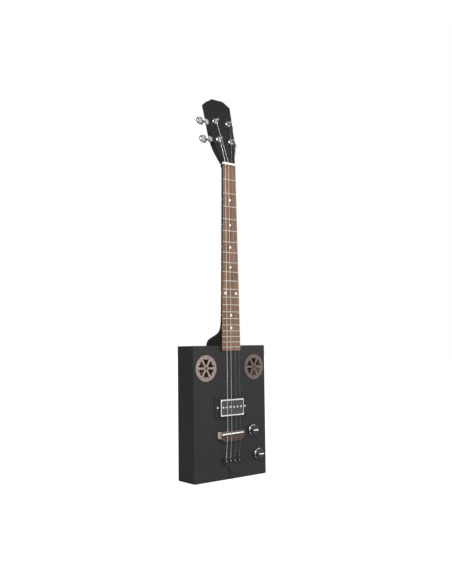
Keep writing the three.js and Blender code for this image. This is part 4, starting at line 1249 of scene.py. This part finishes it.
# ------------------------------------------------------------------ knobs
for name, (x, z) in KNOBS.items():
    y0 = FRONT - 1.2
    profile = rounded(
        [
            (0, 7.8),
            (3.3, 7.8),
            (3.3, 3.4),
            (8.2, 3.4),
            (8.2, 0),
            (12.9, 0),
            (12.9, 0.5),
            (10.3, 3.2),
            (10.45, 7.5),
            (9.8, 8.6),
            (0, 8.5),
        ],
        [0, 0, 0, 0, 0.2, 0.15, 0.35, 0.4, 1.0, 0.8, 0],
        4,
    )

    def flutes(a, r, t):
        if r < 9.6 or t < 2.9:
            return r
        window = max(0.0, min(1.0, (t - 2.9) / 1.0)) * max(0.0, min(1.0, (8.5 - t) / 0.8))
        return r - window * 0.34 * (0.5 + 0.5 * math.cos(a * 18)) ** 1.6

    shape = Shape()
    lathe(shape, profile, front(x, y0, z), 192, wobble=flutes)
    # White pointer let into the top, widest at the rim and turned down over it.
    mark = Shape()
    pointer_top = [
        (-4.6, 0.8, 8.58),
        (-1.5, 1.15, 8.64),
        (2.0, 1.0, 8.66),
        (5.4, 1.35, 8.68),
        (8.2, 1.5, 8.66),
        (9.7, 1.5, 8.45),
        (10.35, 1.45, 7.7),
        (10.65, 1.4, 6.6),
    ]
    loops = []
    for u, w, t in pointer_top:
        loops.append(
            [
                (x + u, y0 - t, z - w),
                (x + u, y0 - t, z + w),
                (x + u - 0.5, y0 - t + 0.7, z + w),
                (x + u - 0.5, y0 - t + 0.7, z - w),
            ]
        )
    rings(mark, loops)
    knob = piece(f"fluted_knob_{name}", shape, name, "knob_plastic", [f"knob_{name}"], sharp=34)
    # Dial marks on the skirt's slope, 27 degrees apart.
    ticks = Shape()
    for k in range(11):
        a = math.radians(234 - 27 * k)
        wide = 0.62 if k % 5 else 0.85
        rows = []
        for r, t in ((10.75, 2.62), (11.5, 1.88), (12.3, 1.06)):
            for lift in (-0.25, 0.07):
                rows.append((r + lift * 0.7, t + lift * 0.7))
        loops = []
        for j in range(3):
            low_r, low_t = rows[2 * j]
            high_r, high_t = rows[2 * j + 1]
            loops.append(
                [
                    (x + rr * math.cos(a) - w * math.sin(a), y0 - tt, z + rr * math.sin(a) + w * math.cos(a))
                    for rr, tt, w in (
                        (low_r, low_t, -wide),
                        (high_r, high_t, -wide),
                        (high_r, high_t, wide),
                        (low_r, low_t, wide),
                    )
                ]
            )
        rings(ticks, loops)
    piece(f"dial_marks_{name}", ticks, name, "pointer", sharp=40)
    soften(piece(f"knob_pointer_{name}", mark, name, "pointer", sharp=40), 0.12, 2, 40)

# ------------------------------------------------------------------ pickup
shape = Shape()
for k in range(6):
    x = (k - 2.5) * 10.2
    profile = rounded([(0, -12), (1.6, -12), (1.6, -0.6), (2.3, -0.6), (2.3, -0.3), (0, -0.3)], 0)
    lathe(shape, profile, front(x, PICKUP_TOP, PICKUP_Z), 24)
    shape.join(placed(slot_screw["pole"][k], front(x, PICKUP_TOP, PICKUP_Z)))
shape.join(block(-28.6, 28.6, PICKUP_TOP + 12, PICKUP_TOP + 13.8, PICKUP_Z - 3, PICKUP_Z + 3))
piece("pole_screws", shape, "pickup", "screw_nickel", ["pickup_poles"])

for k, (side, x) in enumerate((("bass", -39.5), ("treble", 39.5))):
    shape = Shape()
    profile = rounded([(0, -15.2), (0.9, -15.2), (1.2, -14.6), (1.2, 0), (2.3, 0), (2.3, 0.1), (0, 0.1)], 0)
    lathe(shape, profile, front(x, FRONT - 2.7, PICKUP_Z), 24)
    shape.join(placed(slot_screw["height"][k], front(x, FRONT - 2.72, PICKUP_Z)))
    piece(
        f"adjuster_{side}",
        shape,
        f"height_screw_{side}",
        "screw_nickel",
        [f"height_screw_{side}"],
    )

shape = Shape()
for k, (x, dz) in enumerate(((-40.8, -19), (40.8, -19), (40.8, 19), (-40.8, 19))):
    shape.join(placed(slot_screw["small"][k], front(x, FRONT - 2.5, PICKUP_Z + dz)))
piece("ring_screws", shape, "body", "black_metal")


def frame_loop(x0, x1, z0, z1, radius, y):
    corners = ((x0, z0), (x1, z0), (x1, z1), (x0, z1))
    return [(x, y, z) for x, z in rounded(corners, radius, 5, closed=True)]


# Open frame: a flat nickel top, and the bobbin's edge inside; its bevelled sides and inner lip take the dark bobbin
# plastic, painted shade on what is one metal frame.
OUTER = frame_loop(-34.5, 34.5, PICKUP_Z - 19.25, PICKUP_Z + 19.25, 2.0, PICKUP_TOP + 0.9)
TOP_OUT = frame_loop(-32.75, 33.35, PICKUP_Z - 18.95, PICKUP_Z + 17.75, 1.3, PICKUP_TOP)
TOP_IN = frame_loop(-30.9, 32.15, PICKUP_Z - 16.3, PICKUP_Z + 15.05, 3.6, PICKUP_TOP)
LINING = frame_loop(-30.3, 30.6, PICKUP_Z - 15.3, PICKUP_Z + 14.9, 3.8, PICKUP_TOP + 0.55)
shape = Shape()
rings(shape, [TOP_OUT, TOP_IN], caps=(False, False), index=0)
rings(
    shape,
    [
        frame_loop(-33.6, 33.6, PICKUP_Z - 18.35, PICKUP_Z + 18.35, 1.2, PICKUP_TOP + 13),
        frame_loop(-34.5, 34.5, PICKUP_Z - 19.25, PICKUP_Z + 19.25, 2.0, PICKUP_TOP + 13),
        OUTER,
        TOP_OUT,
    ],
    caps=(False, False),
    index=1,
)
rings(
    shape,
    [
        TOP_IN,
        LINING,
        frame_loop(-30.3, 30.6, PICKUP_Z - 15.3, PICKUP_Z + 14.9, 3.8, PICKUP_TOP + 0.75),
        frame_loop(-33.6, 33.6, PICKUP_Z - 18.35, PICKUP_Z + 18.35, 1.2, PICKUP_TOP + 0.76),
        frame_loop(-33.6, 33.6, PICKUP_Z - 18.35, PICKUP_Z + 18.35, 1.2, PICKUP_TOP + 13),
    ],
    caps=(False, False),
    index=1,
)
piece(
    "pickup_frame",
    shape,
    "pickup",
    ["frame_nickel", "bobbin_plastic"],
    ["pickup_cover"],
    sharp=24,
)

# ------------------------------------------------------------------ output jack
shape = Shape()
profile = rounded(
    [
        (0, 1.5),
        (3.25, 1.5),
        (3.25, 32),
        (4.7, 32),
        (4.7, 17),
        (9.5, 17),
        (9.5, 0),
        (0, 0),
    ],
    [0, 0, 0.5, 0.3, 0, 0.5, 0.5, 0],
    3,
)
lathe(shape, profile, to_treble(HALF_W - 27, 0, JACK_Z), 48)
hexagon = [(7.4 * math.cos(k * PI / 3), 7.4 * math.sin(k * PI / 3)) for k in range(6)]
nut = prism(Shape(), rounded(hexagon, 0.5, 3, closed=True), lambda u, v, t: (u, v, t), 0, 2.0, 0.25, 2)
bore = lathe(Shape(), [(0, -1), (4.65, -1), (4.65, 3), (0, 3)], lambda u, v, t: (u, v, t), 32)
shape.join(placed(carve(nut, bore), to_treble(HALF_W + 2.0, 0, JACK_Z)))
piece("jack_and_nut", shape, "body", "steel", ["jack_socket"])
shape = Shape()
for k, (dy, dz) in enumerate(((-12.6, -12.6), (12.6, -12.6), (12.6, 12.6), (-12.6, 12.6))):
    shape.join(placed(slot_screw["plate"][k], to_treble(HALF_W + 1.6, dy, JACK_Z + dz)))
piece("jack_plate_screws", shape, "body", "black_metal")

# Wood screws that hold the back panel.
shape = Shape()
for k, (x, z) in enumerate(
    ((-96, 8.5), (0, 8.5), (96, 8.5), (96, 148.75), (96, 289), (0, 289), (-96, 289), (-96, 148.75))
):
    shape.join(placed(slot_screw["plate"][k % 4], back(x, BACK - 0.35, z)))
piece("back_screws", shape, "body", "black_metal")

# ------------------------------------------------------------------ CAD nodes that stay
for name in ("soundboard", "back_panel"):
    finish_node(name, "body_black", 0.7, 3, 50)
for name in ("side_bass", "side_treble", "side_top", "side_bottom"):
    finish_node(name, "body_black", 0.15, 1, 50)
for name in ("neck_block", "tail_block", "soundboard_brace"):
    finish_node(name, "raw_wood", 0.8, 2, 40)
finish_node("fretboard", "fretboard_wood", 0.35, 2, 40)
finish_node("frets", "fret_metal", 0.4, 3, 30)
finish_node("nut", "bone", 0.3, 3, 30)
finish_node("saddle", "bone", 0.3, 3, 40)
finish_node("bridge", "bridge_wood", 0.7, 3, 18)
finish_node("tailpiece", "black_metal", 0.35, 3, 40)
finish_node("tailpiece_screw", "black_metal", 0.2, 2, 30)
finish_node("grille_bass", "grille_metal", 0.3, 2, 40)
finish_node("grille_treble", "grille_metal", 0.3, 2, 40)
finish_node("pickup_ring", "black_plastic", 0.6, 3, 40)
finish_node("pickup_bobbin", "bobbin_plastic", 0.3, 2, 40)
finish_node("pickup_coil", "copper_wire", 0.3, 2, 40)
finish_node("pickup_baseplate", "steel", 0.2, 2, 40)
finish_node("jack_plate", "black_metal", 0.4, 3, 40)
for name in KNOBS:
    finish_node("pot_" + name, "steel", 0.3, 2, 40)
    finish_node("pot_nut_" + name, "steel", 0.25, 2, 40)
    finish_node("pot_shaft_" + name, "steel", 0.25, 2, 40)
finish_node("pickup_lead", "cable", 0.05, 1, 60)
finish_node("jack_lead", "cable", 0.05, 1, 60)
finish_node("tone_capacitor", "capacitor", 0.3, 2, 40)
for n in range(1, 5):
    finish_node(f"tuner_plate_{n}", "dark_chrome", 0.25, 2, 40)

# ------------------------------------------------------------------ stage
# Not physically strict: the floor glows white to the camera but is dark grey to the light, the camera
# sees the world as plain white, and mirrored and diffuse light see different brightness.
floor_mesh = bpy.data.meshes.new("floor")
floor_mesh.from_pydata(
    [(-9, -9, -0.0003), (9, -9, -0.0003), (9, 14, -0.0003), (-9, 14, -0.0003)],
    [],
    [(0, 1, 2, 3)],
)
floor = bpy.data.objects.new("floor", floor_mesh)
bpy.context.scene.collection.objects.link(floor)
pale = Paint("pale_floor", Roughness=0.9, Specular_IOR_Level=0.1)
pale.set("Base Color", pale.mix(pale.noise(3, 2), (0.2, 0.2, 0.2), (0.22, 0.22, 0.22)))
pale.set("Emission Color", (1, 1, 1, 1))
seen = pale.tree.nodes.new("ShaderNodeLightPath").outputs["Is Camera Ray"]
pale.set("Emission Strength", pale.math("MULTIPLY", seen, 0.9))
floor_mesh.materials.append(pale.mat)
floor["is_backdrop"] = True

world = bpy.data.worlds.new("studio")
bpy.context.scene.world = world
world.use_nodes = True
tree = world.node_tree
tree.nodes.clear()
out = tree.nodes.new("ShaderNodeOutputWorld")
ground = tree.nodes.new("ShaderNodeBackground")
ground.inputs["Color"].default_value = (1, 1, 1, 1)
tree.links.new(ground.outputs[0], out.inputs[0])
coords = tree.nodes.new("ShaderNodeTexCoord")


def lobe(aim, start, end, low, high):
    """How bright the studio is towards aim: low from start outwards, high from end inwards."""
    dot = node(
        tree,
        "VectorMath",
        {0: coords.outputs["Generated"], 1: tuple(Vector(aim).normalized())},
        operation="DOT_PRODUCT",
    ).outputs["Value"]
    return node(
        tree,
        "MapRange",
        {"Value": dot, "From Min": start, "From Max": end, "To Min": low, "To Max": high},
        interpolation_type="SMOOTHSTEP",
        clamp=True,
    ).outputs[0]


def choose(share, a, b):
    made = tree.nodes.new("ShaderNodeMix")
    made.data_type = "FLOAT"
    for index, value in ((0, share), (2, a), (3, b)):
        if isinstance(value, bpy.types.NodeSocket):
            tree.links.new(value, made.inputs[index])
        else:
            made.inputs[index].default_value = value
    return made.outputs[0]


path = tree.nodes.new("ShaderNodeLightPath").outputs
general = lobe((0.72, -0.62, 0.3), -0.75, 0.9, 0.36, 2.17)
behind = lobe((-0.6, 0.73, 0.33), 0.96, 0.99, 0.0, 0.16)
mirrored = node(
    tree,
    "Math",
    {0: lobe((0.66, -0.75, -0.12), 0.62, 0.99, 0.13, 1.12), 1: lobe((0.65, 0.1, 0.75), 0.84, 0.96, 0.0, 0.8)},
    operation="ADD",
).outputs[0]
mirrored = node(tree, "Math", {0: mirrored, 1: behind}, operation="ADD").outputs[0]
tree.links.new(
    choose(path["Is Camera Ray"], choose(path["Is Glossy Ray"], general, mirrored), 1.0),
    ground.inputs["Strength"],
)


def softbox(name, at, aim, width, height, power):
    data = bpy.data.lights.new(name, "AREA")
    data.shape = "RECTANGLE"
    data.size, data.size_y = width, height
    data.energy = power
    lamp = bpy.data.objects.new(name, data)
    bpy.context.scene.collection.objects.link(lamp)
    direction = (Vector(aim) - Vector(at)).normalized()
    lamp.matrix_world = Matrix.Translation(at) @ direction.to_track_quat("-Z", "Y").to_matrix().to_4x4()
    return lamp


softbox("key_softbox", (-1.35, -1.2, 1.55), (0, 0, 0.35), 0.36, 0.9, 21.5).visible_glossy = False
softbox("strip_softbox", (-1.35, -1.25, 1.5), (0, 0, 0.35), 0.62, 2.1, 36).visible_diffuse = False

# ------------------------------------------------------------------ camera
yaw, pitch, roll = math.radians(39.4545), math.radians(3.998), math.radians(-0.642)
look = Vector((math.sin(yaw) * math.cos(pitch), math.cos(yaw) * math.cos(pitch), math.sin(pitch)))
right = Vector((math.cos(yaw), -math.sin(yaw), 0))
up = right.cross(look)
right, up = (
    math.cos(roll) * right + math.sin(roll) * up,
    -math.sin(roll) * right + math.cos(roll) * up,
)
lens = bpy.data.cameras.new("camera")
lens.lens = 43.915
lens.sensor_width = 36
lens.clip_start, lens.clip_end = 0.02, 60
camera = bpy.data.objects.new("camera", lens)
bpy.context.scene.collection.objects.link(camera)
place = Matrix((right, up, -look)).transposed().to_4x4()
place.translation = Vector((-1.0362, -1.27597, 0.30621))
camera.matrix_world = place
bpy.context.scene.camera = camera
bpy.context.scene.view_settings.view_transform = "Standard"

low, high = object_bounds()
